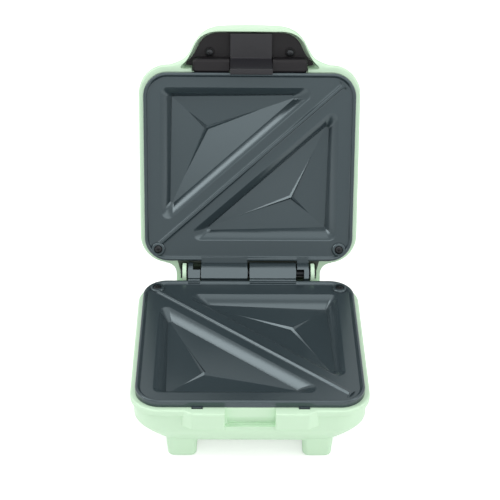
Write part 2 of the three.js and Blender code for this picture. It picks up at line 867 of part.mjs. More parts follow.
// Lid shell details
function flankRing(halfWidth, root, reach, shares, z, scale) {
  const flank = shares.map(([xShare, yShare]) => {
    return new THREE.Vector2(-halfWidth * xShare * scale, -root - reach * yShare * scale);
  });
  const left = new THREE.SplineCurve(flank).getPoints(flank.length * 2);
  const right = left.map((p) => new THREE.Vector2(-p.x, p.y)).reverse();
  return { points: [...left, ...right], z };
}

// The handle's outside draws in with depth, and its root follows the front of the lid
function handleBody() {
  const ring = (taper, z) => {
    const rootDrop = wallFrontSetIn + lidForm.front * slopeShare(lidForm, z + lidDepth);
    return flankRing(
      handleHalfWidth - taper, handleRoot - rootDrop, handleReach - taper + rootDrop,
      handleFlankShares, z, 1,
    );
  };
  const rings = handleTapers.map(([depth, taper]) => ring(taper, -depth));
  return loft([...rings, ring(0, rimZ)]);
}

function handleHollow(inset, zLow, zHigh) {
  const ring = (z) => flankRing(
    handleMouthHalf - inset * 2, handleMouthRoot + inset, handleMouthReach - inset * 2,
    mouthFlankShares, z, 1,
  );
  return loft([ring(zLow), ring(zHigh)]);
}

function hingeHood() {
  const edge = rimZ;
  const startAngle = Math.asin((edge - axisZ) / hoodOuterRadius);
  const backWall = shellBack - shellWall / 2;
  const sideProfile = (radius, wallRise) => {
    const arc = arcPoints(axisY, axisZ, radius, -0.36 * Math.PI, startAngle, 10);
    const trimmed = arc.filter(([, z]) => z < edge);
    return [[backWall, wallRise], ...trimmed, [axisY + radius * Math.cos(startAngle), edge],
      [backWall, edge]];
  };
  const outer = extrudeAcross(sideProfile(hoodOuterRadius, -hoodFairingRise), -hoodOuter, hoodOuter);
  const inner = barAlongX(hoodInnerRadius, -hoodInner, hoodInner, axisY, axisZ, 40);
  return { outer, inner };
}

function lidShell() {
  const hood = hingeHood();
  const lensHoles = [-1, 1].map((end) => {
    return postAlongZ(
      lensRadius + clearance, -lidDepth - overrun, -lidDepth + shellWall + overrun,
      end * lensSpread / 2, -lensStation, 16,
    );
  });
  const coverGate = box(
    -coverLedgeHalf - clearance * 2, coverLedgeHalf + clearance * 2,
    -handleMouthRoot - clearance, -plateLength - clearance,
    -coverDrop - coverThickness - clearance, overrun,
  );
  const coverSeat = -coverDrop - coverThickness - clearance;
  const bosses = coverScrewPlaces().map(([x, y]) => {
    return postAlongZ(coverBossRadius, -handleDepth + handleWall / 2, coverSeat, x, y, 14);
  });
  const bossHoles = coverScrewPlaces().map(([x, y]) => {
    return postAlongZ(
      screwRadius + clearance, -handleDepth + handleWall, -coverDrop, x, y, 12,
    );
  });
  const shell = cut(
    join(bowl(lidDepth, lidForm), handleBody(), hood.outer),
    hood.inner, handleHollow(0, coverSeat, overrun),
    handleHollow(handleHollowTaper, -handleDepth + handleWall, coverSeat + overrun), coverGate,
    ...lensHoles,
    leadSlot(-leadX),
  );
  return cut(join(shell, ...bosses), ...bossHoles);
}

function coverScrewPlaces() {
  return [-1, 1].map((end) => [end * coverScrewSpread / 2, -coverScrewStation]);
}

function handleCover() {
  const back = -coverDrop - coverThickness;
  const plate = handleHollow(clearance, back, -coverDrop);
  const bevelFront = coverLedgeFront - coverLedgeBevel;
  const ledge = extrudeAcross([
    [-coverLedgeRear, back], [-coverLedgeRear, -coverLedgeDrop], [-bevelFront, -coverLedgeDrop],
    [-bevelFront, -coverLedgeDrop - clearance], [-coverLedgeFront, -coverLedgeDrop - coverLedgeBevel],
    [-coverLedgeFront, back],
  ].reverse(), -coverLedgeHalf, coverLedgeHalf);
  const bosses = coverScrewPlaces().map(([x, y]) => {
    return postAlongZ(coverBossRadius, -coverDrop - clearance, -coverDrop + coverBossHeight, x, y, 16);
  });
  const earWidth = latchLugWidth;
  const ears = [-1, 1].map((end) => {
    const xHigh = latchLugStart - clearance * 4 / 3;
    const x = end > 0 ? xHigh - earWidth : -xHigh;
    return join(
      barAlongX(latchBossRadius, x, x + earWidth, -latchPivotStation, -latchPivotDrop, 16),
      box(
        x, x + earWidth, -latchPivotStation - latchBossRadius, -latchPivotStation + latchBossRadius,
        -coverDrop - clearance, -latchPivotDrop,
      ),
    );
  });
  const slot = box(
    -latchHalf - latchSlotGap, latchHalf + latchSlotGap, -coverLedgeFront - overrun,
    -coverLedgeRear + overrun, -coverDrop, overrun,
  );
  const holes = coverScrewPlaces().map(([x, y]) => {
    return postAlongZ(screwRadius + clearance, back - overrun, overrun, x, y, 12);
  });
  const pinBore = barAlongX(
    latchPinRadius + clearance, -latchHalf, latchHalf, -latchPivotStation, -latchPivotDrop, 12,
  );
  return cut(join(cut(join(plate, ledge), slot), ...bosses, ...ears), ...holes, pinBore);
}

function coverScrew(x, y) {
  const seat = -coverDrop + coverBossHeight + clearance;
  const tip = seat - coverBossHeight - coverThickness - screwHeadHeight * 3;
  return turned([
    [0, tip], [screwRadius, tip + screwRadius], [screwRadius, seat], [screwHeadRadius, seat],
    [screwHeadRadius, seat + screwHeadHeight / 2], [screwHeadRadius / 2, seat + screwHeadHeight],
    [0, seat + screwHeadHeight],
  ], 16).translate(x, y, 0);
}

// Latch: a paddle under the handle, a leg that stands out of the lid, and a barb at its tip
function latchForm() {
  const paddleInner = -latchPaddleDrop - latchThickness;
  const side = [
    [-latchPaddleFront, paddleInner],
    [-latchElbow + latchThickness, paddleInner],
    [-latchLegRear, latchLegReach - latchBarbHeight * 3 / 2],
    [-latchTip, latchLegReach - latchBarbHeight],
    [-latchTip, latchLegReach - clearance * 2],
    [-latchTip - clearance * 2, latchLegReach],
    [-latchLegFront, latchLegReach],
    [-latchElbow, -latchPaddleDrop],
    [-latchPaddleFront, -latchPaddleDrop],
  ];
  const blade = extrudeAcross(side, -latchHalf, latchHalf);
  const lugs = [-1, 1].map((end) => {
    const x = end > 0 ? latchLugStart : -latchLugStart - latchLugWidth;
    return join(
      barAlongX(latchBossRadius, x, x + latchLugWidth, -latchPivotStation, -latchPivotDrop, 16),
      box(
        x, x + latchLugWidth, -latchPivotStation - latchBossRadius,
        -latchPivotStation + latchBossRadius, -latchPivotDrop, paddleInner + clearance,
      ),
    );
  });
  const bore = barAlongX(
    latchPinRadius + clearance, -latchHalf, latchHalf, -latchPivotStation, -latchPivotDrop, 12,
  );
  return cut(join(blade, ...lugs), bore);
}

// Heaters, reflectors and electrical pieces
function heatingElement() {
  const x = elementHalfWidth;
  const bend = elementBend;
  const front = -elementFront;
  const rear = -elementRear;
  const z = elementZ;
  const route = [
    [-elementTerminalX, rear, z], [-elementTerminalX - bend, rear, z], [-x + bend, rear, z],
    [-x + bend * 0.3, rear - bend * 0.3, z], [-x, rear - bend, z],
    [-x, front + bend, z], [-x + bend * 0.3, front + bend * 0.3, z], [-x + bend, front, z],
    [x - bend, front, z], [x - bend * 0.3, front + bend * 0.3, z], [x, front + bend, z],
    [x, rear - bend, z], [x - bend * 0.3, rear - bend * 0.3, z], [x - bend, rear, z],
    [elementTerminalX + bend, rear, z], [elementTerminalX, rear, z],
  ];
  return tube(route, elementRadius, 56, 5);
}

function reflector() {
  const half = plateHalf - reflectorSideMargin;
  return extrudeUp(
    roundedOutline(
      half, -plateLength + reflectorEndMargin, -reflectorEndMargin, plateCorner,
    ),
    reflectorZ - reflectorThickness, reflectorZ, 4,
  );
}

function thermostatForm() {
  const bottom = reflectorZ + clearance;
  const shoulder = bottom + thermostatBodyHeight;
  return turned([
    [0, bottom], [thermostatRadius, bottom], [thermostatRadius, shoulder],
    [thermostatNeckRadius, shoulder], [thermostatNeckRadius, -skirtHeight - clearance],
    [0, -skirtHeight - clearance],
  ], 20).translate(0, patternY, 0);
}

// The thermal fuse lies under the lower plate's front pocket
function thermalFuseForm() {
  const xLow = elementRadius + fuseSideGap - elementHalfWidth;
  const y = patternY + starCentreShares[1] * pocketHalfY;
  const z = -(pocketFloorDepth + plateWall + clearance + fuseRadius);
  return barAlongX(fuseRadius, xLow, xLow + fuseHalfLength * 2, y, z, 12);
}

function terminalBlockForm() {
  const low = terminalFloor;
  const body = box(
    -terminalHalf, terminalHalf, -terminalFront, -terminalRear, low, low + terminalHeight,
  );
  const ways = [-1, 0, 1].map((way) => {
    const x = way * terminalHalf * 0.62;
    const slotHalf = terminalHalf * 0.16;
    return box(
      x - slotHalf, x + slotHalf, -terminalFront - overrun, -terminalRear + overrun,
      low + terminalHeight * 0.55, low + terminalHeight + overrun,
    );
  });
  return cut(body, ...ways);
}

function baseLeads() {
  const z = leadRunZ;
  const rise = -reflectorEndMargin + leadRadius * 2;
  return tube([
    [terminalHalf + clearance, -(terminalFront + terminalRear) / 2, z],
    [leadX - leadRadius * 4, -(terminalFront + terminalRear) / 2, z],
    [leadX - leadRadius, -terminalRear, z],
    [leadX, rise - leadRadius, z + leadRadius / 2],
    [leadX, rise, z + leadRadius * 3],
    [leadX, rise, rimZ - rimThickness * 2 - leadRadius],
    [leadX, rise + leadRadius, rimZ - rimThickness - leadRadius],
    [leadX, rise + leadRadius * 2, rimZ - rimThickness - leadRadius],
  ], leadRadius, 24, 4);
}

function lidLeads() {
  const z = reflectorUnder - leadRadius * 2;
  const rise = -reflectorEndMargin + leadRadius * 2;
  return tube([
    [-leadX, rise + leadRadius * 2, rimZ - rimThickness - leadRadius],
    [-leadX, rise + leadRadius, rimZ - rimThickness - leadRadius],
    [-leadX, rise, rimZ - rimThickness * 2 - leadRadius],
    [-leadX, rise, z + leadRadius * 2],
    [-leadX, rise - leadRadius, z],
    [-leadX, rise - leadRadius * 4, z],
    [-leadX + leadRadius * 2, -plateLength / 3, z],
    [-elementTerminalX, -plateLength * 2 / 3, z],
    [-elementTerminalX, -lensStation + holderHalfWidth + clearance, z],
  ], leadRadius, 24, 4);
}

function cordGland() {
  const neck = shellWall + clearance * 2;
  const innerLip = glandFlangeThickness;
  const profile = [
    [glandBore, -neck - innerLip], [glandNeckRadius + clearance * 2, -neck - innerLip],
    [glandNeckRadius + clearance * 2, -neck], [glandNeckRadius, -neck], [glandNeckRadius, 0],
    [glandFlangeRadius, 0], [glandFlangeRadius, glandFlangeThickness],
    [glandTailRadius, glandFlangeThickness], [glandTailRadius - clearance, glandTailLength],
    [glandBore, glandTailLength], [glandBore, -neck - innerLip],
  ];
  const points = profile.map(([radius, height]) => new THREE.Vector2(radius, height));
  const form = new THREE.LatheGeometry(points, 20);
  return form.translate(0, shellBack + clearance, -glandDrop);
}

function cordClampForm() {
  const low = -baseDepth + shellWall + clampPillarHeight + clearance;
  const bar = box(
    -clampHalf, clampHalf, -clampStation - clampWidth / 2, -clampStation + clampWidth / 2,
    low, low + clampThickness,
  );
  const holes = [-1, 1].map((end) => {
    return postAlongZ(
      clampScrewRadius + clearance, low - overrun, low + clampThickness + overrun,
      end * clampPillarX, -clampStation, 10,
    );
  });
  return cut(bar, ...holes);
}

function clampScrew(x) {
  const seat = -baseDepth + shellWall + clampPillarHeight + clampThickness + clearance * 2;
  return turned([
    [0, seat - clampScrewLength], [clampScrewRadius, seat - clampScrewLength + clampScrewRadius],
    [clampScrewRadius, seat], [clampScrewRadius * 2, seat],
    [clampScrewRadius * 2, seat + clampScrewRadius], [0, seat + clampScrewRadius],
  ], 12).translate(x, -clampStation, 0);
}

function lens(x) {
  const inside = -lidDepth + shellWall + clearance;
  return turned([
    [0, -lidDepth - lensProud], [lensRadius * 0.7, -lidDepth - lensProud * 0.7],
    [lensRadius, -lidDepth], [lensRadius, inside], [lensFlangeRadius, inside],
    [lensFlangeRadius, inside + lensFlangeThickness], [0, inside + lensFlangeThickness],
  ], 16).translate(x, -lensStation, 0);
}

function lampHolderForm() {
  const low = -lidDepth + shellWall + lensFlangeThickness + clearance * 2 + lampLength;
  const bar = box(
    -holderHalf, holderHalf, -lensStation - holderHalfWidth, -lensStation + holderHalfWidth,
    low, low + holderThickness,
  );
  const lamps = [-1, 1].map((end) => {
    return postAlongZ(
      lampRadius, low - lampLength + clearance, low + clearance, end * lensSpread / 2,
      -lensStation, 12,
    );
  });
  const legs = [-1, 1].map((end) => {
    const x = end * (holderHalf - holderThickness / 2);
    return box(
      x - holderThickness / 2, x + holderThickness / 2,
      -lensStation - holderHalfWidth, -lensStation + holderHalfWidth,
      -lidDepth + shellWall + clearance, low + clearance,
    );
  });
  return join(bar, ...lamps, ...legs);
}

// Hinge pin with its head, and the clip at its other end
function hingePinForm() {
  const headRadius = pinRadius * 1.5;
  const headIn = earOuter + clearance;
  const headOut = hoodInner - clearance;
  const form = turned([
    [0, -headOut], [headRadius, -headOut], [headRadius, -headIn], [pinRadius, -headIn],
    [pinRadius, headOut], [0, headOut],
  ], 24);
  return form.rotateY(quarter).translate(0, axisY, axisZ);
}

function hingeClipForm() {
  const inner = pinRadius + clearance / 2;
  const outer = pinRadius * 1.5;
  const low = earOuter + clearance;
  const high = hoodInner - clearance * 2;
  const points = [[inner, low], [outer, low], [outer, high], [inner, high], [inner, low]];
  const ring = points.map(([radius, height]) => new THREE.Vector2(radius, height));
  const form = new THREE.LatheGeometry(ring, 24);
  return form.rotateZ(-quarter).translate(0, axisY, axisZ);
}

function footPad(x, y) {
  const low = soleZ - padProud;
  return turned([
    [0, low], [padRadius - padProud, low], [padRadius, low + padProud],
    [padRadius, low + padThickness], [0, low + padThickness],
  ]).translate(x, y, 0);
}

// Base assembly
const base = new THREE.Group();
base.position.z = partingHeight;
object.add(base);

add(base, 'base_shell', baseShell(), mintPlastic());
add(base, 'lower_plate', cookingPlate(1, plateTabs()), nonStick());
add(base, 'lower_heating_element', heatingElement(), heaterSteel());
add(base, 'lower_reflector', reflector(), sheetSteel());
add(base, 'lower_plate_screw_left', plateScrew(-screwX), screwSteel());
add(base, 'lower_plate_screw_right', plateScrew(screwX), screwSteel());
add(base, 'thermostat', thermostatForm(), ceramic());
add(base, 'thermal_fuse', thermalFuseForm(), sleeve());
add(base, 'terminal_block', terminalBlockForm(), ceramic());
add(base, 'cord_gland', cordGland(), rubber());
add(base, 'cord_clamp', cordClampForm(), blackPlastic());
add(base, 'cord_clamp_screw_left', clampScrew(-clampPillarX), screwSteel());
add(base, 'cord_clamp_screw_right', clampScrew(clampPillarX), screwSteel());
add(base, 'base_leads', baseLeads(), sleeve());
const padNames = ['front_left', 'front_right', 'rear_left', 'rear_right'];
footPlaces().forEach(([x, y], i) => add(base, `foot_pad_${padNames[i]}`, footPad(x, y), rubber()));
add(base, 'hinge_pin', hingePinForm(), pinSteel());
add(base, 'hinge_pin_clip', hingeClipForm(), pinSteel());

// Lid assembly, turned over the base and swung open about the hinge axis
const lidPivot = new THREE.Group();
lidPivot.position.set(0, axisY, axisZ);
lidPivot.rotation.x = -THREE.MathUtils.degToRad(openAngleDegrees);
base.add(lidPivot);

const lid = new THREE.Group();
lid.position.set(0, -axisY, axisZ);
lid.rotation.y = Math.PI;
lidPivot.add(lid);

add(lid, 'lid_shell', lidShell(), mintPlastic());
add(lid, 'upper_plate', cookingPlate(-1, plateHooks()), nonStick());
add(lid, 'upper_heating_element', heatingElement(), heaterSteel());
add(lid, 'upper_reflector', reflector(), sheetSteel());
add(lid, 'upper_plate_screw_left', plateScrew(screwX), screwSteel());
add(lid, 'upper_plate_screw_right', plateScrew(-screwX), screwSteel());
add(lid, 'handle_cover', handleCover(), blackPlastic());
const [rightPlace, leftPlace] = coverScrewPlaces();
add(lid, 'handle_cover_screw_left', coverScrew(...leftPlace), screwSteel());
add(lid, 'handle_cover_screw_right', coverScrew(...rightPlace), screwSteel());
add(lid, 'lamp_holder', lampHolderForm(), ceramic());
add(lid, 'power_lens', lens(lensSpread / 2), redLens());
add(lid, 'ready_lens', lens(-lensSpread / 2), greenLens());
add(lid, 'lid_leads', lidLeads(), sleeve());

add(lid, 'latch', latchForm(), latchPlastic());
add(lid, 'latch_pin', barAlongX(
  latchPinRadius, -latchLugStart - latchLugWidth, latchLugStart + latchLugWidth,
  -latchPivotStation, -latchPivotDrop, 12,
), pinSteel());

// The origin is the middle of the underside
object.updateMatrixWorld(true);
const extent = new THREE.Box3().setFromObject(object, true);
const middle = extent.getCenter(new THREE.Vector3());
object.position.set(-middle.x, -middle.y, -extent.min.z);

export default object;
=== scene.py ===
import json
import math

import bmesh
import bpy
from mathutils import Matrix, Vector


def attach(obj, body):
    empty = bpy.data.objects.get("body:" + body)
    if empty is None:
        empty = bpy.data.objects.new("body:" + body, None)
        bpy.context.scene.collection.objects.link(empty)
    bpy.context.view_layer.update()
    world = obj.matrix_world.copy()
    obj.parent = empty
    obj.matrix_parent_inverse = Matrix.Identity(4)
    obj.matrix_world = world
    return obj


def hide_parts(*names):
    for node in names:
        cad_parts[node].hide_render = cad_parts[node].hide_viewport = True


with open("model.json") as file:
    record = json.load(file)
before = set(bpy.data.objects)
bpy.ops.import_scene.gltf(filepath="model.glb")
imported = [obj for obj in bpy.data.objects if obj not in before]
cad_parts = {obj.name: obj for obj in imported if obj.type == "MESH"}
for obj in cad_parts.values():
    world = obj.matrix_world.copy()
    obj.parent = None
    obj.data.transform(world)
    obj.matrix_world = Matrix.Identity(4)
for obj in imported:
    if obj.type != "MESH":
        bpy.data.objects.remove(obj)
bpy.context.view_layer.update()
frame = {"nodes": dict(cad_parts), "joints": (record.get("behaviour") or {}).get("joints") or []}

# The base and the lid are each drawn in millimetres in the frame of a half that lies open side up:
# x across, y = 0 at the plate's rear edge and falling towards the front, z = 0 on the plate's rim,
# depth along -z. The lid is turned over, so its x runs the other way once it is in place

# Cooking plates
plate_half = 66
plate_length = 120.5
plate_fronts = {1: -120.8, -1: -119.9}
plate_back = 0.6
plate_corner = 15
skirt_height = 4.2
land_drop = 1.5
pattern_y = -61.8
pocket_half = Vector((56, 49.5))
pocket_floor = 8.2
pocket_run = 7.4
pocket_corner = 4.5
ridge_slope = 0.892
ridge_shift = 0.7
strip_half = 7.1
star_middle = (-26.8, -84, -9)
tab_xs = (-30.1, 30.7)
floor_corners = ((-49, -104.3, -8.4), (-51.9, -29, -5.9), (35.5, -106.5, -5.7))

# Shells
shell_half = 69
shell_front = -123.9
shell_back = 3
shell_corner = 18
shell_wall = 2.5
rim_z = -4.5
rim_thickness = 3.5
ledge_width = 2
lip_height = 4
side_set_in = 1.9
front_set_in = 1.3
slope_bend = 1.3
slope_corner_loss = 9.2
base_depth = 33
lid_depth = 34
base_slope = {"sides": 17.1, "front": 7.4, "rise": 13.5, "back": 10, "back_rise": 17}
lid_slope = {"sides": 14, "front": 11, "rise": 25, "back": 9, "back_rise": 15}
sole_z = -42.9
foot_x = 39.25
foot_ys = (-106.65, -9.25)
recess_half = 14.4
recess_back = -120.9
block_low = -16.2
gland_z = -21

# Hinge
axis_y = 8.3
axis_z = 0.3
pin_radius = 2.4
bore_radius = pin_radius + 0.3
barrel_radius = 6.7
ear_radius = 6.2
well_radius = 10
hood_radius = 9.5
hood_hollow_radius = 7.3
hinge_half = 46
open_angle = math.radians(107.6)

# Screws, lamps and latch
pilot_radius = 1.9
screw_x = 57.5
screw_y = -6.9
cover_screw_x = 25
cover_post_radius = 3.1
cover_screw_y = -131
lens_x = 10
lens_y = -104
latch_pivot_y = -131
latch_pivot_z = -9.2
latch_bore_radius = 1.2

# Handle: half its width, how far it stands out from its root, and the same for its mouth
handle_half = 58
handle_root = -121.5
handle_reach = 27
mouth_half = 43.1
mouth_root = -121.3
mouth_reach = 23.6
cover_back = -13.6
cover_front = -11.6

# Points closer than this are one, and edges that turn less than these are flat, or smooth
merge_distance = 0.0005
flat_angle = math.radians(0.6)
crease_angle = math.radians(32)

hinge = Vector(next(j for j in frame["joints"] if j["name"] == "lid_hinge")["pos_m"])
base_place = (
    Matrix.Translation(hinge) @ Matrix.Scale(0.001, 4)
    @ Matrix.Translation((0, -axis_y, -axis_z))
)
lid_place = (
    Matrix.Translation(hinge) @ Matrix.Scale(0.001, 4) @ Matrix.Rotation(-open_angle, 4, "X")
    @ Matrix.Translation((0, -axis_y, axis_z)) @ Matrix.Rotation(math.pi, 4, "Y")
)


# Shaping helpers

def flat_face(bm, points, z):
    return bm.faces.new([bm.verts.new((x, y, z)) for x, y in points])


def round_corners(bm, verts, offset, segments, kind="OFFSET"):
    """Rounds a flat face's corners and gives back the faces that this makes."""
    before = set(bm.faces) - {f for v in verts for f in v.link_faces}
    bmesh.ops.bevel(
        bm, geom=verts, offset=offset, offset_type=kind, affect="VERTICES",
        segments=segments, profile=0.5, material=-1, clamp_overlap=False,
    )
    return [f for f in bm.faces if f not in before]


def rounded_face(bm, half, front, back, z, corner, segments):
    """A flat face, as wide on both sides of x = 0, with its four corners rounded."""
    face = flat_face(bm, ((-half, front), (half, front), (half, back), (-half, back)), z)
    faces = round_corners(bm, list(face.verts), corner, segments)
    return next(f for f in faces if len(f.verts) > segments)


def flowing_face(bm, points, z):
    """A flat face whose outline flows past its control points."""
    percent, segments = 46, 4
    face = flat_face(bm, points, z)
    return round_corners(bm, list(face.verts), percent, segments, "PERCENT")[0]


def verts_of(geom):
    """The vertices among an operator's results."""
    return [g for g in geom if isinstance(g, bmesh.types.BMVert)]


def draw_out(bm, face, vector):
    """Draws a face out into a closed prism and gives back its far face."""
    grown = bmesh.ops.extrude_face_region(bm, geom=[face])["geom"]
    bmesh.ops.translate(bm, verts=verts_of(grown), vec=vector)
    return next(g for g in grown if isinstance(g, bmesh.types.BMFace))


def draw_on(bm, face, vector):
    """Draws a solid's face further out."""
    far = draw_out(bm, face, vector)
    bmesh.ops.delete(bm, geom=[face], context="FACES_ONLY")
    return far


def step_in(bm, face, steps):
    """Insets a face again and again, each time by a width and a depth along its normal."""
    face.normal_update()
    for width, depth in steps:
        bmesh.ops.inset_region(
            bm, faces=[face], thickness=width, depth=depth, use_even_offset=True,
            use_boundary=True,
        )
    return face


def arc_steps(width, height, count):
    """Width and height pairs that follow a quarter of an ellipse, its steep end first."""
    stops = [math.pi / 2 * i / count for i in range(count + 1)]
    return [
        (width * (math.cos(a) - math.cos(b)), height * (math.sin(b) - math.sin(a)))
        for a, b in zip(stops, stops[1:])
    ]


def wave_steps(width, height, count):
    """Width and height pairs that follow a soft S from one level to another."""
    rise = [(i / count) ** 2 * (3 - 2 * i / count) for i in range(count + 1)]
    return [(width / count, height * (b - a)) for a, b in zip(rise, rise[1:])]


def block(x_low, x_high, y_low, y_high, z_low, z_high, edge=0):
    """A box between two corners with its edges softened."""
    bm = bmesh.new()
    bmesh.ops.create_cube(bm, size=1)
    bmesh.ops.scale(bm, vec=(x_high - x_low, y_high - y_low, z_high - z_low), verts=bm.verts)
    middle = ((x_low + x_high) / 2, (y_low + y_high) / 2, (z_low + z_high) / 2)
    bmesh.ops.translate(bm, vec=middle, verts=bm.verts)
    return soften(bm, edge)


def rod(radius, start, vector, axis, edge, segments):
    """A round bar drawn from a start along a vector, its circle turned about an axis first."""
    bm = bmesh.new()
    bmesh.ops.create_circle(bm, cap_ends=True, radius=radius, segments=segments)
    if axis:
        bmesh.ops.rotate(bm, matrix=Matrix.Rotation(math.pi / 2, 3, axis), verts=bm.verts)
    bmesh.ops.translate(bm, vec=start, verts=bm.verts)
    draw_out(bm, bm.faces[:][0], vector)
    return soften(bm, edge)


def bar(radius, x_low, x_high, y, z, edge=0, segments=64):
    """A round bar along x, its ends rounded over."""
    return rod(radius, (x_low, y, z), (x_high - x_low, 0, 0), "Y", edge, segments)


def peg(radius, y_low, y_high, x, z, edge=0, segments=48):
    """A round bar along y."""
    return rod(radius, (x, y_low, z), (0, y_high - y_low, 0), "X", edge, segments)


def post(radius, z_low, z_high, x, y, edge=0, segments=48):
    """A round bar along z."""
    return rod(radius, (x, y, z_low), (0, 0, z_high - z_low), None, edge, segments)


def across(points, x_low, x_high, edge=0):
    """A side profile drawn in y and z and drawn out along x."""
    bm = bmesh.new()
    face = bm.faces.new([bm.verts.new((x_low, y, z)) for y, z in points])
    draw_out(bm, face, (x_high - x_low, 0, 0))
    return soften(bm, edge)


def turned(profile):
    """A closed turned form about the z axis from its radius and height pairs."""
    bm = bmesh.new()
    verts = [bm.verts.new((radius, 0, height)) for radius, height in profile]
    edges = [bm.edges.new(pair) for pair in zip(verts, verts[1:])]
    bmesh.ops.spin(
        bm, geom=verts + edges, cent=(0, 0, 0), axis=(0, 0, 1), angle=2 * math.pi, steps=48,
        use_merge=True,
    )
    return bm


def hull_of(circles, segments):
    """The hull of flat circles, each a centre and a radius."""
    bm = bmesh.new()
    for centre, radius in circles:
        bmesh.ops.create_circle(
            bm, radius=radius, segments=segments, matrix=Matrix.Translation(centre),
        )
    hulled = bmesh.ops.convex_hull(bm, input=bm.verts)
    spare = set(hulled["geom_interior"]) | set(hulled["geom_unused"])
    bmesh.ops.delete(bm, geom=verts_of(spare), context="VERTS")
    loose = [e for e in bm.edges if not e.link_faces]
    bmesh.ops.delete(bm, geom=loose, context="EDGES")
    tidy(bm)
    return bm


def hull_of_points(points):
    bm = bmesh.new()
    for point in points:
        bm.verts.new(point)
    bmesh.ops.convex_hull(bm, input=bm.verts)
    tidy(bm)
    return bm


def tidy(bm):
    """Merges doubles and takes out the edges that lie in flat faces."""
    bmesh.ops.remove_doubles(bm, verts=bm.verts, dist=merge_distance)
    bmesh.ops.dissolve_limit(bm, angle_limit=flat_angle, verts=bm.verts, edges=bm.edges)
    bmesh.ops.recalc_face_normals(bm, faces=bm.faces)


def soften(bm, width, segments=3, where=None, angle=30):
    """Rounds the sharp edges, or those of them that a test picks."""
    if not width:
        return bm
    bmesh.ops.recalc_face_normals(bm, faces=bm.faces)
    sharp = [
        e for e in bm.edges
        if len(e.link_faces) == 2 and e.calc_face_angle(0) > math.radians(angle)
        and (where is None or where(e))
    ]
    bmesh.ops.bevel(
        bm, geom=sharp, offset=width, affect="EDGES", segments=segments, profile=0.5,
        material=-1, clamp_overlap=False, loop_slide=True,
    )
    return bm


def moved(bm, vector):
    bmesh.ops.translate(bm, vec=vector, verts=bm.verts)
    return bm


def is_closed(bm):
    return all(edge.is_manifold for edge in bm.edges)


def settled(bm):
    """A form with its doubles merged and its flat faces joined, where that leaves it closed."""
    trial = bm.copy()
    tidy(trial)
    if is_closed(trial) or not is_closed(bm):
        bm.free()
        return trial
    trial.free()
    bmesh.ops.recalc_face_normals(bm, faces=bm.faces)
    return bm


def mesh_from(bm):
    if not is_closed(bm):
        bmesh.ops.remove_doubles(bm, verts=bm.verts, dist=merge_distance)
    bmesh.ops.recalc_face_normals(bm, faces=bm.faces)
    mesh = bpy.data.meshes.new("form")
    bm.to_mesh(mesh)
    bm.free()
    return mesh


def worked(body, joins=(), keeps=(), cuts=()):
    """A bmesh with closed forms joined to it, trimmed to others, and then others cut from it."""
    carrier = bpy.data.objects.new("form", mesh_from(body))
    bpy.context.scene.collection.objects.link(carrier)
    tools = []
    for forms, operation in ((joins, "UNION"), (keeps, "INTERSECT"), (cuts, "DIFFERENCE")):
        for form in forms:
            tool = bpy.data.objects.new("tool", mesh_from(form))
            bpy.context.scene.collection.objects.link(tool)
            modifier = carrier.modifiers.new("work", "BOOLEAN")
            modifier.operation = operation
            modifier.object = tool
            modifier.solver = "MANIFOLD"
            tools.append(tool)
    depsgraph = bpy.context.evaluated_depsgraph_get()
    mesh = bpy.data.meshes.new_from_object(carrier.evaluated_get(depsgraph))
    result = bmesh.new()
    result.from_mesh(mesh)
    bpy.data.meshes.remove(mesh)
    for item in [carrier, *tools]:
        spent = item.data
        bpy.data.objects.remove(item)
        bpy.data.meshes.remove(spent)
    return settled(result)


def piece(name, bm, place, body, material, replaced, keen=None):
    """Puts a finished form in its place as a piece that rides on a body, its creases marked. A
    test can name edges that stay creases although they turn only a little."""
    bm = settled(bm)
    for face in bm.faces:
        face.smooth = True
    for edge in bm.edges:
        angle = edge.calc_face_angle(0)
        edge.smooth = angle < crease_angle and not (keen and keen(edge, angle))
    bmesh.ops.transform(bm, matrix=place, verts=bm.verts)
    mesh = bpy.data.meshes.new(name)
    bm.to_mesh(mesh)
    bm.free()
    item = bpy.data.objects.new(name, mesh)
    bpy.context.scene.collection.objects.link(item)
    weighted = item.modifiers.new("flat faces stay flat", "WEIGHTED_NORMAL")
    weighted.keep_sharp = True
    mesh.materials.append(material)
    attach(item, body)
    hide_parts(*replaced)


# Finishes

def new_group(name, inputs, outputs):
    """A node group with its sockets, each a name and a type, and the two nodes at its ends."""
    group = bpy.data.node_groups.new(name, "ShaderNodeTree")
    for way, sockets in (("INPUT", inputs), ("OUTPUT", outputs)):
        for label, kind in sockets.items():
            group.interface.new_socket(label, in_out=way, socket_type="NodeSocket" + kind)
    return group, group.nodes.new("NodeGroupInput"), group.nodes.new("NodeGroupOutput")


def feed(tree, socket, value):
    """Gives a socket another node's output or a plain value."""
    if isinstance(value, bpy.types.NodeSocket):
        tree.links.new(value, socket)
    else:
        socket.default_value = value


def maths(tree, operation, *values):
    """The result of a calculation with plain numbers and other nodes' outputs."""
    node = tree.nodes.new("ShaderNodeMath")
    node.operation = operation
    for socket, value in zip(node.inputs, values):
        feed(tree, socket, value)
    return node.outputs[0]


def vector_maths(tree, operation, output, *values):
    node = tree.nodes.new("ShaderNodeVectorMath")
    node.operation = operation
    for socket, value in zip(node.inputs, values):
        feed(tree, socket, value)
    return node.outputs[output]


def scaled(tree, colour, factor):
    """A colour made lighter or darker by a factor."""
    shade = vector_maths(tree, "SCALE", "Vector", colour)
    feed(tree, shade.node.inputs["Scale"], factor)
    return shade


def noise(tree, place, size, detail):
    node = tree.nodes.new("ShaderNodeTexNoise")
    node.inputs["Detail"].default_value = detail
    feed(tree, node.inputs["Vector"], place)
    feed(tree, node.inputs["Scale"], size)
    return node.outputs["Fac"]


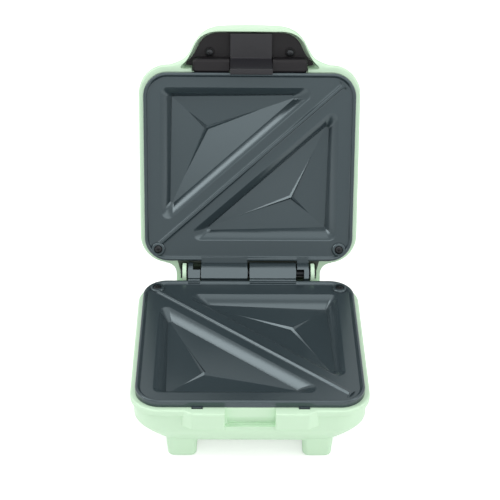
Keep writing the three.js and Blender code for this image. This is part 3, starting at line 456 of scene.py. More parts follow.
def grain_group():
    """Fine moulded or cast grain: a small height and a slow change of shade."""
    group, given, result = new_group(
        "grain",
        {
            "Grain Size": "Float", "Depth": "Float", "Shade Change": "Float", "Colour": "Color",
            "Gloss": "Float",
        },
        {"Colour": "Color", "Roughness": "Float", "Normal": "Vector"},
    )
    place = group.nodes.new("ShaderNodeTexCoord").outputs["Object"]
    bump = group.nodes.new("ShaderNodeBump")
    bump.inputs["Distance"].default_value = 0.0001
    feed(group, bump.inputs["Strength"], given.outputs["Depth"])
    feed(group, bump.inputs["Height"], noise(group, place, given.outputs["Grain Size"], 3))
    feed(group, result.inputs["Normal"], bump.outputs["Normal"])
    centred = maths(group, "SUBTRACT", noise(group, place, 22, 4), 0.5)
    shade = maths(group, "MULTIPLY_ADD", centred, given.outputs["Shade Change"], 1)
    feed(group, result.inputs["Colour"], scaled(group, given.outputs["Colour"], shade))
    gloss = maths(group, "MULTIPLY", given.outputs["Gloss"], shade)
    feed(group, result.inputs["Roughness"], gloss)
    return group


def painted_hinge_shade_group():
    """Paints shade: darkens the colour of the walls that face the hinge's axis from close by, where
    little light reaches.
    """
    reach, half_length, widening, painted_darkening = 0.0107, 0.044, 0.27, 0.93
    group, given, result = new_group("painted_hinge_shade", {"Colour": "Color"}, {"Colour": "Color"})
    place = group.nodes.new("ShaderNodeTexCoord").outputs
    axis = base_place @ Vector((0, axis_y, axis_z))
    spoke = vector_maths(
        group, "MULTIPLY_ADD", "Vector", place["Object"], (0, 1, 1), (0, -axis.y, -axis.z),
    )
    distance = vector_maths(group, "LENGTH", "Value", spoke)
    near = maths(group, "LESS_THAN", distance, reach)
    facing = vector_maths(group, "DOT_PRODUCT", "Value", spoke, place["Normal"])
    inward = maths(group, "LESS_THAN", facing, -0.0004)
    parts = group.nodes.new("ShaderNodeSeparateXYZ")
    feed(group, parts.inputs[0], place["Object"])
    aside = maths(group, "ABSOLUTE", parts.outputs["X"])
    end = maths(
        group, "MULTIPLY_ADD", parts.outputs["Z"], widening, half_length - widening * axis.z,
    )
    within = maths(group, "LESS_THAN", aside, end)
    painted_shade = maths(group, "MULTIPLY", maths(group, "MULTIPLY", near, within), inward)
    left_over = maths(group, "MULTIPLY_ADD", painted_shade, -painted_darkening, 1)
    feed(group, result.inputs["Colour"], scaled(group, given.outputs["Colour"], left_over))
    return group


grain = grain_group()
painted_hinge_shade = painted_hinge_shade_group()


def srgb(*levels):
    """A colour written in 0 to 255 levels as the renderer's linear values."""
    shares = [level / 255 for level in levels]
    linear = [s / 12.92 if s <= 0.04045 else ((s + 0.055) / 1.055) ** 2.4 for s in shares]
    return (*linear, 1)


def placed_group(tree, group):
    """A node group placed in a material's tree."""
    node = tree.nodes.new("ShaderNodeGroup")
    node.node_tree = group
    return node


def finish(name, levels, roughness, grain_size, depth, shade, painted_shade=False, **sockets):
    """A material whose colour, roughness and fine relief come from the grain group; where asked,
    painted shade near the hinge's axis darkens its colour.
    """
    material = bpy.data.materials.new(name)
    material.use_nodes = True
    tree = material.node_tree
    shader = tree.nodes["Principled BSDF"]
    surface = placed_group(tree, grain)
    values = (grain_size, depth, shade, srgb(*levels), roughness)
    for socket, value in zip(surface.inputs, values):
        socket.default_value = value
    colour = surface.outputs["Colour"]
    # Painted shade: the colour is darkened near the hinge's axis
    if painted_shade:
        recess = placed_group(tree, painted_hinge_shade)
        feed(tree, recess.inputs["Colour"], colour)
        colour = recess.outputs["Colour"]
    feed(tree, shader.inputs["Base Color"], colour)
    feed(tree, shader.inputs["Roughness"], surface.outputs["Roughness"])
    feed(tree, shader.inputs["Normal"], surface.outputs["Normal"])
    for socket, value in sockets.items():
        shader.inputs[socket.replace("_", " ")].default_value = value
    return material


# Each finish: colour, roughness, grains in a metre, depth of the grain, change of shade
# The mint plastic carries painted shade near the hinge's axis
mint_plastic = finish("mint_plastic", (204, 233, 204), 0.38, 1500, 0.12, 0.02, painted_shade=True)
non_stick = finish(
    "non_stick_coat", (44, 54, 58), 0.22, 2600, 0.12, 0.05, IOR=1.65,
    Specular_Tint=(0.8, 0.95, 1, 1),
)
black_plastic = finish("black_plastic", (22, 20, 23), 0.42, 1400, 0.35, 0.05, IOR=1.32)
latch_plastic = finish("latch_plastic", (30, 30, 34), 0.36, 1400, 0.3, 0.05, IOR=1.38)
screw_steel = finish("blackened_screw_steel", (48, 50, 52), 0.35, 1800, 0.2, 0.1, Metallic=0.8)
pin_steel = finish("drawn_pin_steel", (170, 174, 178), 0.28, 1400, 0.2, 0.1, Metallic=1.0)
# Pin steel darkened as painted shade, for the hinge pin and clip that lie in the hinge's dark gaps
painted_shade_steel = finish("painted_shade_pin_steel", (46, 48, 50), 0.5, 1400, 0.2, 0.1, Metallic=0.9)
sheet_steel = finish("sheet_steel", (190, 194, 198), 0.32, 700, 0.3, 0.15, Metallic=1.0)
heater_sheath = finish("heater_sheath", (110, 108, 105), 0.42, 900, 0.4, 0.25, Metallic=0.9)
ceramic = finish("steatite", (232, 228, 216), 0.55, 900, 0.25, 0.05)
sleeving = finish("glass_sleeving", (217, 209, 190), 0.8, 1200, 0.6, 0.1)
rubber = finish("rubber", (42, 42, 44), 0.75, 1100, 0.5, 0.1)
red_lens = finish("red_lens", (200, 48, 40), 0.12, 500, 0.02, 0.03, Coat_Weight=0.5)
green_lens = finish("green_lens", (58, 170, 84), 0.12, 500, 0.02, 0.03, Coat_Weight=0.5)


# Cooking plates

def pocket_form(side, turn, levels):
    """A three-sided form whose corners are rounded, from its levels: offset, radius and height."""
    slant = math.hypot(1, ridge_slope)
    strip = (strip_half - turn * ridge_shift) * slant
    edge = -pocket_half
    corners = [
        Vector((edge.x, -(ridge_slope * edge.x + strip))),
        Vector((edge.x, edge.y)),
        Vector((-(edge.y + strip) / ridge_slope, edge.y)),
    ]
    circles = []
    for i, corner in enumerate(corners):
        before = (corners[i - 1] - corner).normalized()
        after = (corners[(i + 1) % 3] - corner).normalized()
        inward = (before + after).normalized()
        half_sine = math.sin(math.acos(before.dot(after)) / 2)
        for offset, radius, height in levels:
            centre = corner + inward * ((radius - offset) / half_sine)
            point = (side * turn * centre.x, pattern_y + turn * centre.y, height)
            circles.append((Vector(point), radius))
    return hull_of(circles, 40)


def pattern_point(side, turn, x, y, z):
    """A place in a pocket from its x and y about the middle of the front left pocket's frame."""
    return Vector((side * turn * x, pattern_y + turn * (y - pattern_y), z))


def pocket_hollow(side, turn):
    """A pocket: its wall leaves the land softly and falls steeper, and its floor is three
    facets that fall from the corners to one low point."""
    start, end, wall_steps = math.radians(22), math.radians(58), 9
    edge_steps, edge_step, overlap = 4, 0.2, 0.05
    levels = [(0, pocket_corner, -land_drop)]
    for i in range(edge_steps):
        offset, radius, height = levels[-1]
        fall = edge_step * math.tan(start * (i + 0.5) / edge_steps)
        levels.append((offset - edge_step, radius - 0.08, height - fall))
    edge, _, edge_height = levels[-1]
    for i in range(1, wall_steps + 1):
        angle = start + (end - start) * i / wall_steps
        run = (math.sin(angle) - math.sin(start)) / (math.sin(end) - math.sin(start))
        fall = (math.cos(start) - math.cos(angle)) / (math.cos(start) - math.cos(end))
        levels.append((
            edge + (-pocket_run - edge) * run, pocket_corner - 0.4 - 3.1 * run,
            edge_height + (-pocket_floor - edge_height) * fall,
        ))
    levels.append((-pocket_run - 0.45, 0.9, -pocket_floor - 1))
    slices = [pocket_form(side, turn, [(0, pocket_corner, 2), *levels[:2]])]
    for upper, lower in zip(levels[1:], levels[2:]):
        lap = (upper[0], upper[1], upper[2] + overlap)
        slices.append(pocket_form(side, turn, [lap, upper, lower]))
    low = pattern_point(side, turn, *star_middle)
    reach = [low + (pattern_point(side, turn, *corner) - low) * 2 for corner in floor_corners]
    above = [Vector((point.x, point.y, 3)) for point in reach]
    return worked(slices[0], joins=slices[1:], keeps=[hull_of_points([low, *reach, *above])])


def star_arms(side, turn):
    """The raised star on a pocket's floor: three tapering arms that meet in one point."""
    arm_shares = (0.53, 0.55, 0.56)
    waist, root, crown = 1.4, 0.9, 1.3
    low = pattern_point(side, turn, *star_middle)
    tips = [
        low.lerp(pattern_point(side, turn, *corner), share)
        for corner, share in zip(floor_corners, arm_shares)
    ]
    bearings = [(tip - low).normalized() for tip in tips]
    arms = []
    for i, tip in enumerate(tips):
        notches = [
            low + (bearings[i] + bearings[(i + step) % 3]).normalized() * waist
            for step in (1, 2)
        ]
        outline = [tip, *notches]
        under = [point - Vector((0, 0, root)) for point in (*outline, low)]
        arms.append(hull_of_points([*under, *outline, low + Vector((0, 0, crown))]))
    return arms


def cutting_ridge(side):
    """The ridge that parts the two pockets, from the low corner to the high one."""
    low_x, high_x, end_length = -57.5, 58, 3.5
    angle = math.atan(ridge_slope)
    run = math.hypot(1, ridge_slope)
    low_y = pattern_y - ridge_slope * low_x + ridge_shift * run
    bm = bmesh.new()
    flank = [(2.3, -1.9), (2, -1.45), (1.6, -1.36), (1.25, -1.1), (0.8, -0.4), (0.5, -0.24)]
    profile = flank + [(-y, z) for y, z in reversed(flank)]
    face = bm.faces.new([bm.verts.new((0, y, z)) for y, z in profile])
    far = draw_out(bm, face, ((high_x - low_x) * run - end_length, 0, 0))
    for reach, width in ((1.8, 1), (0.9, 1.5), (0.5, 1.5), (0.3, 0.8)):
        far = draw_on(bm, far, (reach, 0, 0))
        bmesh.ops.scale(bm, vec=(1, width, 1), verts=far.verts)
    bmesh.ops.rotate(bm, matrix=Matrix.Rotation(angle * -side, 3, "Z"), verts=bm.verts)
    if side > 0:
        return moved(bm, (low_x, low_y, 0))
    bmesh.ops.rotate(bm, matrix=Matrix.Rotation(math.pi, 3, "Z"), verts=bm.verts)
    return moved(bm, (-low_x, low_y, 0))


def hinge_lug(x_low, x_high, notched, flat_turn):
    """One hinge lug: a barrel round the pin, the arm that joins it to the plate, and a flat at an
    angle about the pin. The notch leaves room for the lid stop."""
    flat = bmesh.new()
    bmesh.ops.create_cube(flat, size=10, matrix=Matrix.Translation((0, 10.85, 0)))
    bmesh.ops.scale(flat, vec=(8, 1, 1), verts=flat.verts)
    bmesh.ops.rotate(flat, matrix=Matrix.Rotation(flat_turn, 3, "X"), verts=flat.verts)
    moved(flat, (0, axis_y, axis_z))
    lug = worked(
        bar(barrel_radius, x_low, x_high, axis_y, axis_z, 0.45, 96),
        joins=[block(x_low, x_high, -2, axis_y, -skirt_height, 0, 0.35)],
        cuts=[bar(bore_radius, x_low - 1, x_high + 1, axis_y, axis_z), flat],
    )
    if notched:
        notch = block(-35.4, -30, axis_y - 3.82, axis_y + 8, -8, axis_y + 8, 0.3)
        lug = worked(lug, cuts=[notch])
    return lug


def base_plate_tabs():
    """The two tabs at the front of the base's plate that catch under its rim."""
    return [
        block(x - 3, x + 3, -plate_length - 1.2, -plate_length + 4, -5.8, -3.9, 0.3)
        for x in tab_xs
    ]


def lid_plate_hooks():
    """Hooks at the front of the lid's plate that reach under the rim's ledge."""
    toe = rim_z - rim_thickness - 0.3
    heel = -plate_length + 2.3
    return [
        block(x - 3, x + 3, front, heel + 2, toe - 1.6, top, 0.2)
        for x in (-46, 46) for front, top in ((heel, -3.9), (heel - 1.1, toe))
    ]


def floor_crease(edge, angle):
    """Tells the creases between a pocket floor's flat facets."""
    return angle > math.radians(2) and all(
        f.normal.z > 0.975 and f.calc_center_median().z < -4 for f in edge.link_faces
    )


def cooking_plate(side, tabs):
    """A plate with its pockets, ridge, screw bosses and lugs: side 1 the base's, -1 the lid's."""
    edge, bead_width, bead_slope = 0.9, 0.45, 1.7
    slab = bmesh.new()
    outline = rounded_face(
        slab, plate_half, plate_fronts[side], plate_back, -skirt_height, plate_corner, 16,
    )
    top = draw_out(slab, outline, (0, 0, skirt_height - edge))
    bead = arc_steps(edge, edge, 5) + [(bead_width, 0)] + wave_steps(bead_slope, -land_drop, 8)
    step_in(slab, top, bead)
    unders = [
        pocket_form(side, turn, [(1.4, 6.4, -3.6), (1.4, 6.4, -skirt_height), (-6, 3.4, -11)])
        for turn in (-1, 1)
    ]
    bosses = [
        moved(turned([
            (0, -3), (4.6, -3), (4.6, -1.2), (4.5, -0.75), (4.25, -0.35), (3.85, -0.08),
            (3.4, 0), (0, 0),
        ]), (x, screw_y, 0))
        for x in (-screw_x, screw_x)
    ]
    pockets = [pocket_hollow(side, turn) for turn in (-1, 1)]
    holes = [
        post(radius, low, 2, x, screw_y)
        for radius, low in ((2.75, -2), (pilot_radius, -12)) for x in (-screw_x, screw_x)
    ]
    plate = worked(
        slab, joins=[*unders, *tabs, *bosses, cutting_ridge(side)], cuts=pockets + holes,
    )
    stars = [arm for turn in (-1, 1) for arm in star_arms(side, turn)]
    flat_turn = math.radians(147 if side > 0 else 105.5)
    lugs = [
        hinge_lug(x_low, x_high, notched, flat_turn)
        for x_low, x_high, notched in ((0.65, 30.2, False), (-38.4, -30.8, True))
    ]
    return worked(plate, joins=stars + lugs)


def cross_recess(depth, top, reach=1.5):
    """The cross that a driver fits, as two tapering blades."""
    blades = []
    for turn in (0, math.pi / 2):
        blade = block(-reach, reach, -0.34, 0.34, top - depth, top + 1)
        low = [v for v in blade.verts if v.co.z < top]
        bmesh.ops.scale(blade, vec=(0.35, 0.7, 1), verts=low)
        bmesh.ops.rotate(blade, matrix=Matrix.Rotation(turn, 3, "Z"), verts=blade.verts)
        blades.append(blade)
    return blades


def plate_screw():
    """Pan-head screw with its shank; its head lies in the plate's boss."""
    shank_tip = -15.7
    body = turned([
        (0, shank_tip), (0.9, shank_tip), (1.6, shank_tip + 1.6), (1.6, -1.7), (2.45, -1.7),
        (2.45, -0.95), (2.3, -0.55), (1.95, -0.3), (1.4, -0.2), (0, -0.2),
    ])
    return worked(body, cuts=cross_recess(0.95, -0.2))


# Shells

def bowl_form(offset, depth, slope, top):
    """A half's bowl: upright walls, sides and a front that slope in to a flat bottom, and a rear
    turned in by a quarter of an ellipse."""
    circles = []
    rise = max(slope["rise"], slope["back_rise"])
    heights = [offset + (rise - offset) * i / 14 for i in range(15)] + [top + depth]
    for height in heights:
        share = max(0, 1 - height / slope["rise"]) ** slope_bend
        turn = max(0, 1 - height / slope["back_rise"])
        corner = shell_corner - offset - slope_corner_loss * share
        x = shell_half - offset - side_set_in - slope["sides"] * share - corner
        front = shell_front + offset + front_set_in + slope["front"] * share + corner
        back = shell_back - offset - slope["back"] * (1 - math.sqrt(1 - turn ** 2)) - corner
        for place in ((-x, front), (x, front), (x, back), (-x, back)):
            circles.append((Vector((*place, height - depth)), corner))
    return hull_of(circles, 64)


def lip_form():
    """The lip round a half's rim, which stands proud of the walls under it."""
    round_over, round_under = 1.1, 0.6
    bm = bmesh.new()
    under = rounded_face(
        bm, shell_half, shell_front, shell_back, rim_z - lip_height + round_under, shell_corner, 16,
    )
    upper = draw_out(bm, under, (0, 0, lip_height - round_under - round_over))
    bmesh.ops.recalc_face_normals(bm, faces=bm.faces)
    step_in(bm, upper, arc_steps(round_over, round_over, 5))
    step_in(bm, under, arc_steps(round_under, round_under, 4) + [(0.8, 0.6), (0.6, 0.6)])
    return bm


def bowl_hollows(depth, slope):
    """The inside of a half and the mouth that the plate's skirt stands over."""
    mouth = bmesh.new()
    face = rounded_face(
        mouth, plate_half - ledge_width, -plate_length + ledge_width, -ledge_width,
        rim_z - rim_thickness - 1, plate_corner - ledge_width, 12,
    )
    draw_out(mouth, face, (0, 0, 9.5))
    return [bowl_form(shell_wall, depth, slope, rim_z - rim_thickness), mouth]


def lead_slot(x):
    """The slot behind the plate where the leads leave a half for the hinge."""
    return block(x - 2.2, x + 2.2, -5, 2.1, -13.2, -6.25)


def pilot_holes():
    """The holes that the plate's screws enter."""
    return [post(pilot_radius, -18.8, 1, x, screw_y) for x in (-screw_x, screw_x)]


def screw_posts(depth, slope):
    """The posts that the plate's screws enter, trimmed to the half's outside."""
    return [
        worked(
            post(4, -depth + 1.2, rim_z, x, screw_y),
            keeps=[bowl_form(0.3, depth, slope, rim_z + 1)],
        )
        for x in (-screw_x, screw_x)
    ]


def catch_block(end):
    """One of the two blocks beside the catch recess, its outer end raked back to the skirt."""
    bm = bmesh.new()
    plan = [(recess_half, -119), (recess_half, -127), (33, -127), (39.3, -122.9), (39.3, -119)]
    face = flat_face(bm, [(end * x, y) for x, y in plan], block_low)
    draw_out(bm, face, (0, 0, rim_z - block_low))
    return soften(bm, 1, 4, lambda e: max(v.co.y for v in e.verts) < -121)


def recess_backing():
    """The wall behind the catch recess."""
    return block(-17, 17, recess_back, -117.2, -19.5, rim_z)


def hinge_bed():
    """The thick part of the rear wall that the hinge's well is cut into."""
    return block(-hinge_half, hinge_half, -4, 1.75, -12.2, rim_z)


def foot(x, y):
    """A foot that widens toward the base and is rounded at its sole."""
    bm = bmesh.new()
    sole = rounded_face(bm, 8.4, -9.7, 8.25, sole_z, 3.4, 8)
    root = draw_out(bm, sole, (0, 0, 13.9))
    bmesh.ops.scale(bm, vec=(1.13, 0.97, 1), verts=root.verts)
    bmesh.ops.recalc_face_normals(bm, faces=bm.faces)
    step_in(bm, sole, arc_steps(1.6, 1.6, 6))
    return moved(bm, (x, y, 0))


def hinge_ear(x_low, x_high):
    """An ear of the base: the round end about the pin and the leg that carries it."""
    leg = across([
        (2.1, 0.3), (2.1, -8), (0.5, -8), (0.5, -17), (2.7, -17), (4.51, -9.27), (6.02, -5.46),
        (8.3, 0.3),
    ], x_low, x_high)
    return worked(bar(ear_radius, x_low, x_high, axis_y, axis_z, 0.45, 72), joins=[leg])


def lid_stop(x_low, x_high):
    """The bracket on the base against which the open lid rests."""
    points = [(1.75, -6.9), (1.75, -17), (3, -12.07), (9.889, -9.573), (10.737, -6.9)]
    return across(points, x_low, x_high, 0.25)


def base_shell_form():
    catch_slot = block(-13, 14.2, -121.9, -119.2, -16.1, -11.55, 0.3)
    hollow, mouth = bowl_hollows(base_depth, base_slope)
    shell = worked(
        bowl_form(0, base_depth, base_slope, rim_z - 2),
        joins=[
            lip_form(), hinge_bed(), recess_backing(), catch_block(-1), catch_block(1),
            *[foot(x, y) for x in (-foot_x, foot_x) for y in foot_ys],
        ],
    )
    shell = worked(shell, cuts=[hollow])
    shell = worked(
        shell,
        joins=[
            recess_backing(), hinge_bed(), peg(6.6, 0.5, 3, 0, gland_z, 0.3),
            *screw_posts(base_depth, base_slope),
        ],
        cuts=[
            mouth, bar(well_radius, -46.6, 46.6, axis_y, axis_z, 0, 128), lead_slot(33),
            block(-recess_half, recess_half, -131, recess_back, -17, 1), catch_slot,
            peg(4.7, -4, 6, 0, gland_z),
            *[block(x - 3.3, x + 3.3, -122.2, -116.2, -6.4, 1) for x in tab_xs],
            *[
                post(4.9, sole_z - 3.1, sole_z - 0.2, x, y)
                for x in (-foot_x, foot_x) for y in foot_ys
            ],
            *pilot_holes(),
        ],
    )
    return worked(
        shell,
        joins=[
            hinge_ear(39.5, 42), hinge_ear(-42, -39.5), lid_stop(35.4, 38.4),
            lid_stop(-38.4, -35.4),
        ],
        cuts=[bar(bore_radius, -hinge_half, hinge_half, axis_y, axis_z)],
    )


def mirrored(points):
    """A left flank's points with their mirror images after them."""
    return points + [(-x, y) for x, y in reversed(points)]


# Left flanks of the handle and its mouth, each as shares of half its width and of its reach
handle_flank = [
    (1, 0), (0.766, 0.154), (0.676, 0.271), (0.622, 0.476), (0.577, 0.663), (0.508, 0.84),
    (0.418, 0.945), (0.295, 1),
]
mouth_flank = [
    (0.95, 0), (1, 0.025), (0.99, 0.1), (0.92, 0.2), (0.85, 0.42), (0.8, 0.63),
    (0.742, 0.8), (0.655, 0.92), (0.545, 0.985), (0.44, 1),
]


def handle_form():
    """The handle's outside: it flows out of the lid's front and draws in with depth."""
    bm = bmesh.new()
    half, reach, middle, height, steps = 44.9, 42.5, -106, 17.2, 12
    flank = [(-handle_half * x, handle_root - handle_reach * y) for x, y in handle_flank]
    face = flowing_face(bm, mirrored([(-30, -104), (-54, -109), *flank]), rim_z - 1.7)
    far = draw_out(bm, face, (0, 0, -0.6))
    bmesh.ops.recalc_face_normals(bm, faces=bm.faces)
    step_in(bm, face, arc_steps(2.2, 1.7, 7))
    turns = [math.pi / 2 * i / steps for i in range(steps + 1)]
    stops = [(height * math.sin(t), 5.4 * math.sin(t) + 2.8 * (1 - math.cos(t))) for t in turns]
    for (depth, taper), (deeper, narrower) in zip(stops, stops[1:]):
        far = draw_on(bm, far, (0, 0, depth - deeper))
        bmesh.ops.scale(
            bm, vec=((half - narrower) / (half - taper), (reach - narrower) / (reach - taper), 1),
            verts=far.verts, space=Matrix.Translation((0, -middle, 0)),
        )
    return bm


def mouth_form(inset, low, high, draft=0):
    """The handle's mouth between two levels, drawn in by an inset and a draft at its low end."""
    bm = bmesh.new()
    half = mouth_half - (inset + draft) * 2
    rise = mouth_reach - (inset + draft) * 2
    flank = [(-half * x, mouth_root - inset - draft - rise * y) for x, y in mouth_flank]
    far = draw_out(bm, flowing_face(bm, mirrored(flank), low), (0, 0, high - low))
    bmesh.ops.scale(
        bm, vec=((half + draft * 2) / half, (rise + draft * 2) / rise, 1), verts=far.verts,
        space=Matrix.Translation((0, -mouth_root + inset + draft + rise / 2, 0)),
    )
    return bm


def hinge_hood():
    """The curved cover over the hinge, filleted into the lid's rear wall at both ends."""
    hood = worked(
        bar(hood_radius, -hinge_half, hinge_half, axis_y, axis_z, 0.6, 128),
        joins=[across(
            [(1.75, -20), (12.35, -8.3), (8.3, -4), (1.75, -4)], -hinge_half, hinge_half, 0.3,
        )],
    )
    fillet_end, fillet_radius = 53, 7
    fillets = [
        worked(
            block(*sorted((end * 45.3, end * fillet_end)), 1.75, 10, -15, -4),
            cuts=[post(fillet_radius, -20, 0, end * fillet_end, 10, 0, 96)],
        )
        for end in (-1, 1)
    ]
    return worked(hood, joins=fillets, cuts=[block(-60, 60, -12, 30, rim_z, 20)])


def lid_shell_form():
    shell = worked(
        bowl_form(0, lid_depth, lid_slope, rim_z - 2),
        joins=[lip_form(), handle_form(), hinge_hood()],
    )
    shell = worked(
        shell,
        joins=screw_posts(lid_depth, lid_slope),
        cuts=[
            *bowl_hollows(lid_depth, lid_slope),
            bar(hood_hollow_radius, -43.5, 43.5, axis_y, axis_z, 0, 96),
            mouth_form(0, rim_z, 1), mouth_form(0, cover_back - 0.3, rim_z + 0.01, 1.3),
            mouth_form(6.3, -19.5, -13), block(-36, 36, -122.7, -120.1, cover_back - 0.3, 1),
            lead_slot(-33), *[post(3.3, -36, -30, x, lens_y) for x in (-lens_x, lens_x)],
        ],
    )
    cover_posts = [
        post(cover_post_radius, -22.75, cover_back - 0.3, x, cover_screw_y)
        for x in (-cover_screw_x, cover_screw_x)
    ]
    cover_pilots = [
        post(pilot_radius, -21.5, -11, x, cover_screw_y) for x in (-cover_screw_x, cover_screw_x)
    ]
    return worked(
        shell, joins=cover_posts + screw_posts(lid_depth, lid_slope),
        cuts=pilot_holes() + cover_pilots,
    )


# Handle cover, latch and small pieces

def pivot_ears(x_low, x_high, foot_z):
    """A round ear about the latch's pin with its foot, on each side."""
    radius = 1.9
    return [
        worked(
            bar(radius, low, high, latch_pivot_y, latch_pivot_z, 0.15, 32),
            joins=[block(
                low, high, latch_pivot_y - radius, latch_pivot_y + radius,
                *sorted((foot_z, latch_pivot_z)), 0.15,
            )],
        )
        for low, high in ((x_low, x_high), (-x_high, -x_low))
    ]


def pivot_bore():
    return bar(latch_bore_radius, -12, 12, latch_pivot_y, latch_pivot_z)


def handle_cover_form():
    """The cover: a plate in the handle's mouth, its ledge over the rim, bosses and latch ears."""
    edge = 1.9
    plate = mouth_form(1.6, cover_back, cover_front)
    ledge = bmesh.new()
    face = rounded_face(ledge, 35.6, -128.2, -119.5, cover_back, 2.6, 8)
    top = draw_out(ledge, face, (0, 0, 12 - edge))
    bmesh.ops.recalc_face_normals(ledge, faces=ledge.faces)
    step_in(ledge, top, arc_steps(edge, edge, 6))
    latch_slot = block(-14.1, 12.8, -130, -118, cover_front, 1, 0.5)
    body = worked(plate, joins=[ledge], cuts=[latch_slot])
    screw_xs = (-cover_screw_x, cover_screw_x)
    bosses = [post(cover_post_radius, -11.9, -10.6, x, cover_screw_y, 0.3) for x in screw_xs]
    holes = [post(pilot_radius, -20, 1, x, cover_screw_y) for x in screw_xs]
    return worked(body, joins=bosses + pivot_ears(6, 8, -12), cuts=[*holes, pivot_bore()])


def cover_screw():
    """Round-head screw through the handle's cover."""
    body = turned([
        (0, -16.8), (0.9, -16.8), (1.6, -15.4), (1.6, -10.3), (2.45, -10.3), (2.45, -9.85),
        (2.2, -9.35), (1.65, -8.98), (0.9, -8.82), (0, -8.8),
    ])
    return worked(body, cuts=cross_recess(0.9, -8.8, 1.35))


def latch_form():
    """The latch: a paddle in the handle, a leg that stands out of the lid and a barb."""
    side = [
        (-143.5, -6.4), (-126.5, -6.4), (-122.8, 12.9), (-121.1, 14.1), (-121.1, 14.8),
        (-121.3, 15.3), (-124.6, 15.3), (-128.3, -4.6), (-143.5, -4.6),
    ]
    blade = across(side, -13.6, 12.3)
    soften(blade, 1, 4, lambda e: all(v.co.y < -143 for v in e.verts)
           and abs(e.verts[0].co.x - e.verts[1].co.x) < 0.1)
    soften(blade, 0.45, 3, angle=40)
    return worked(blade, joins=pivot_ears(8.4, 10.4, -6.1), cuts=[pivot_bore()])


def latch_pin_form():
    """The plain pin that the latch turns on."""
    return bar(0.9, -10.4, 10.4, latch_pivot_y, latch_pivot_z, 0.2, 32)


def foot_pad_form(x, y):
    """A rubber pad with a groove round its face."""
    return moved(turned([
        (0, -44.9), (2.6, -44.9), (2.8, -44.7), (3.1, -44.7), (3.3, -44.9), (4.3, -44.9),
        (4.6, -44.6), (4.6, -43.4), (0, -43.4),
    ]), (x, y, 0))


def gland_form():
    """The strain relief: a flange on the rear wall and a ribbed tail."""
    profile = [
        (3, -5.1), (5, -5.1), (5, -3.1), (4.4, -3.1), (4.4, 0), (5.6, 0), (6, 0.4), (6, 1.5),
        (5.5, 2), (3.9, 2), (3.9, 2.9), (3.5, 3.1), (3.5, 3.7), (3.85, 3.9), (3.85, 4.7),
        (3.45, 4.9), (3.45, 5.5), (3.75, 5.7), (3.75, 6.5), (3.4, 6.7), (3.4, 7.1), (3.65, 7.3),
        (3.6, 7.8), (3.3, 8), (3, 8), (3, -5.1),
    ]
    bm = turned(profile)
    bmesh.ops.rotate(bm, matrix=Matrix.Rotation(-math.pi / 2, 3, "X"), verts=bm.verts)
    return moved(bm, (0, 3.3, gland_z))


def lens_form(x):
    """A lamp's domed lens with its flange."""
    return moved(turned([
        (0, -34.8), (1, -34.74), (1.9, -34.55), (2.6, -34.2), (2.95, -33.7), (3, -33.2),
        (3, -31.2), (4.2, -31.2), (4.2, -30.2), (0, -30.2),
    ]), (x, lens_y, 0))


def along_x(bm):
    """Turns a form made about z so that it lies along x on the hinge's line."""
    bmesh.ops.rotate(bm, matrix=Matrix.Rotation(math.pi / 2, 3, "Y"), verts=bm.verts)
    return moved(bm, (0, axis_y, axis_z))


def hinge_pin_form():
    return along_x(turned([
        (0, -43.2), (3.1, -43.2), (3.5, -43), (3.6, -42.7), (3.6, -42.3), (pin_radius, -42.3),
        (pin_radius, 42.8), (2, 43.2), (0, 43.2),
    ]))


def hinge_clip_form():
    """The clip: a flat ring with its opening."""
    ring = turned([
        (2.55, 42.3), (3.5, 42.3), (3.6, 42.4), (3.6, 42.8), (3.5, 42.9), (2.55, 42.9),
        (2.55, 42.3),
    ])
    return along_x(worked(ring, cuts=[block(0, 6, -0.9, 0.9, 40, 45)]))


# Pieces in their places

piece(
    "base_body", base_shell_form(), base_place, "base", mint_plastic,
    ["base_shell"],
)
piece(
    "lid_body", lid_shell_form(), lid_place, "lid", mint_plastic, ["lid_shell"],
)
piece(
    "lower_cooking_plate", cooking_plate(1, base_plate_tabs()), base_place, "base", non_stick,
    ["lower_plate"], keen=floor_crease,
)
piece(
    "upper_cooking_plate", cooking_plate(-1, lid_plate_hooks()), lid_place, "lid", non_stick,
    ["upper_plate"], keen=floor_crease,
)
piece(
    "handle_inner_cover", handle_cover_form(), lid_place, "lid", black_plastic,
    ["handle_cover"],
)
piece("latch_tab", latch_form(), lid_place, "latch", latch_plastic, ["latch"])
piece("latch_pin_rod", latch_pin_form(), lid_place, "lid", pin_steel, ["latch_pin"])
# The hinge pin and clip take the pin steel darkened as painted shade
piece("hinge_rod", hinge_pin_form(), base_place, "base", painted_shade_steel, ["hinge_pin"])
piece(
    "hinge_clip", hinge_clip_form(), base_place, "base", painted_shade_steel,
    ["hinge_pin_clip"],
)
piece("lead_gland", gland_form(), base_place, "base", rubber, ["cord_gland"])
for side, x in (("left", -screw_x), ("right", screw_x)):
    piece(
        f"lower_plate_fixing_{side}", moved(plate_screw(), (x, screw_y, 0)), base_place, "base",
        screw_steel, [f"lower_plate_screw_{side}"],
    )
    piece(
        f"upper_plate_fixing_{side}", moved(plate_screw(), (-x, screw_y, 0)), lid_place, "lid",
        screw_steel, [f"upper_plate_screw_{side}"],
    )
for side, x in (("left", cover_screw_x), ("right", -cover_screw_x)):
    piece(
        f"cover_fixing_{side}", moved(cover_screw(), (x, cover_screw_y, 0)), lid_place, "lid",
        screw_steel, [f"handle_cover_screw_{side}"],
    )
for label, y in zip(("front", "rear"), foot_ys):
    for side, x in (("left", -foot_x), ("right", foot_x)):
        piece(
            f"{label}_{side}_sole", foot_pad_form(x, y), base_place, "base", rubber,
            [f"foot_pad_{label}_{side}"],
        )
piece("red_indicator", lens_form(lens_x), lid_place, "lid", red_lens, ["power_lens"])
piece(
    "green_indicator", lens_form(-lens_x), lid_place, "lid", green_lens,
    ["ready_lens"],
)

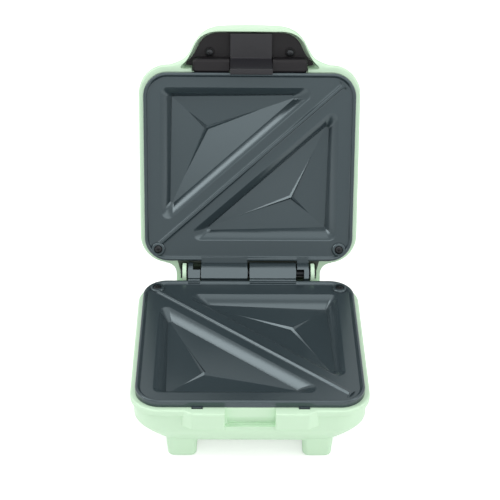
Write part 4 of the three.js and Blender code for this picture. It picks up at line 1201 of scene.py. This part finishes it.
kept_nodes = {
    heater_sheath: ["lower_heating_element", "upper_heating_element"],
    sheet_steel: ["lower_reflector", "upper_reflector"],
    ceramic: ["thermostat", "terminal_block", "lamp_holder"],
    sleeving: ["thermal_fuse", "base_leads", "lid_leads"],
    black_plastic: ["cord_clamp"],
    screw_steel: ["cord_clamp_screw_left", "cord_clamp_screw_right"],
}
for material, names in kept_nodes.items():
    for name in names:
        slots = frame["nodes"][name].data.materials
        slots.clear()
        slots.append(material)


# Floor, lights and camera

studio_strength = 0.45


def seen_directly(tree):
    """1 for what the camera, a gloss or a clear material sees, 0 for light that falls on things."""
    rays = tree.nodes.new("ShaderNodeLightPath").outputs
    seen = maths(tree, "MAXIMUM", rays["Is Camera Ray"], rays["Is Transmission Ray"])
    return maths(tree, "MAXIMUM", seen, rays["Is Glossy Ray"])


def floor_finish():
    """Pale matt floor that reads as white where nothing shades it."""
    material = bpy.data.materials.new("floor")
    material.use_nodes = True
    tree = material.node_tree
    sockets = tree.nodes["Principled BSDF"].inputs
    sockets["Base Color"].default_value = (0.9, 0.9, 0.9, 1)
    sockets["Roughness"].default_value = 0.9
    sockets["Emission Color"].default_value = (1, 1, 1, 1)
    lift = maths(tree, "MULTIPLY", seen_directly(tree), studio_strength)
    feed(tree, sockets["Emission Strength"], lift)
    return material


floor_mesh = bmesh.new()
bmesh.ops.create_grid(floor_mesh, x_segments=1, y_segments=1, size=3)
floor_data = bpy.data.meshes.new("floor")
floor_mesh.to_mesh(floor_data)
floor_mesh.free()
floor = bpy.data.objects.new("floor", floor_data)
floor_data.materials.append(floor_finish())
bpy.context.scene.collection.objects.link(floor)


def softbox(name, place, target, size, power):
    """A rectangular lamp that faces a target, its power in watts."""
    light = bpy.data.lights.new(name, "AREA")
    light.shape = "RECTANGLE"
    light.size, light.size_y = size
    light.energy = power
    lamp = bpy.data.objects.new(name, light)
    lamp.location = place
    lamp.rotation_euler = (Vector(target) - Vector(place)).to_track_quat("-Z", "Y").to_euler()
    bpy.context.scene.collection.objects.link(lamp)


softbox("left_softbox", (-0.85, -0.15, 0.9), (0, -0.02, 0.1), (0.45, 0.95), 6)
softbox("right_softbox", (0.95, -0.35, 0.7), (0, -0.02, 0.08), (0.5, 0.9), 3.8)
softbox("overhead_softbox", (0.1, 0.1, 1.5), (0, 0, 0.05), (1.3, 1.2), 4.6)
softbox("front_fill", (0.15, -1.55, 1.05), (0, 0, 0.06), (1.5, 0.9), 8.5)

world = bpy.data.worlds.new("surroundings")
world.use_nodes = True
backdrop = world.node_tree.nodes["Background"]
shade = world.node_tree.nodes.new("ShaderNodeMapRange")
shade.inputs["To Min"].default_value = studio_strength
shade.inputs["To Max"].default_value = 1
feed(world.node_tree, shade.inputs["Value"], seen_directly(world.node_tree))
feed(world.node_tree, backdrop.inputs["Strength"], shade.outputs["Result"])
backdrop.inputs["Color"].default_value = (1, 1, 1, 1)
bpy.context.scene.world = world

lens = bpy.data.cameras.new("camera")
lens.sensor_width = 36
lens.lens = 103.531
camera = bpy.data.objects.new("camera", lens)
camera.location = base_place @ Vector((-12.086, -753.548, 514.627))
camera.rotation_euler = (math.radians(56.892), math.radians(-0.64), math.radians(-0.552))
bpy.context.scene.collection.objects.link(camera)
bpy.context.scene.camera = camera
bpy.context.scene.view_settings.view_transform = "Standard"
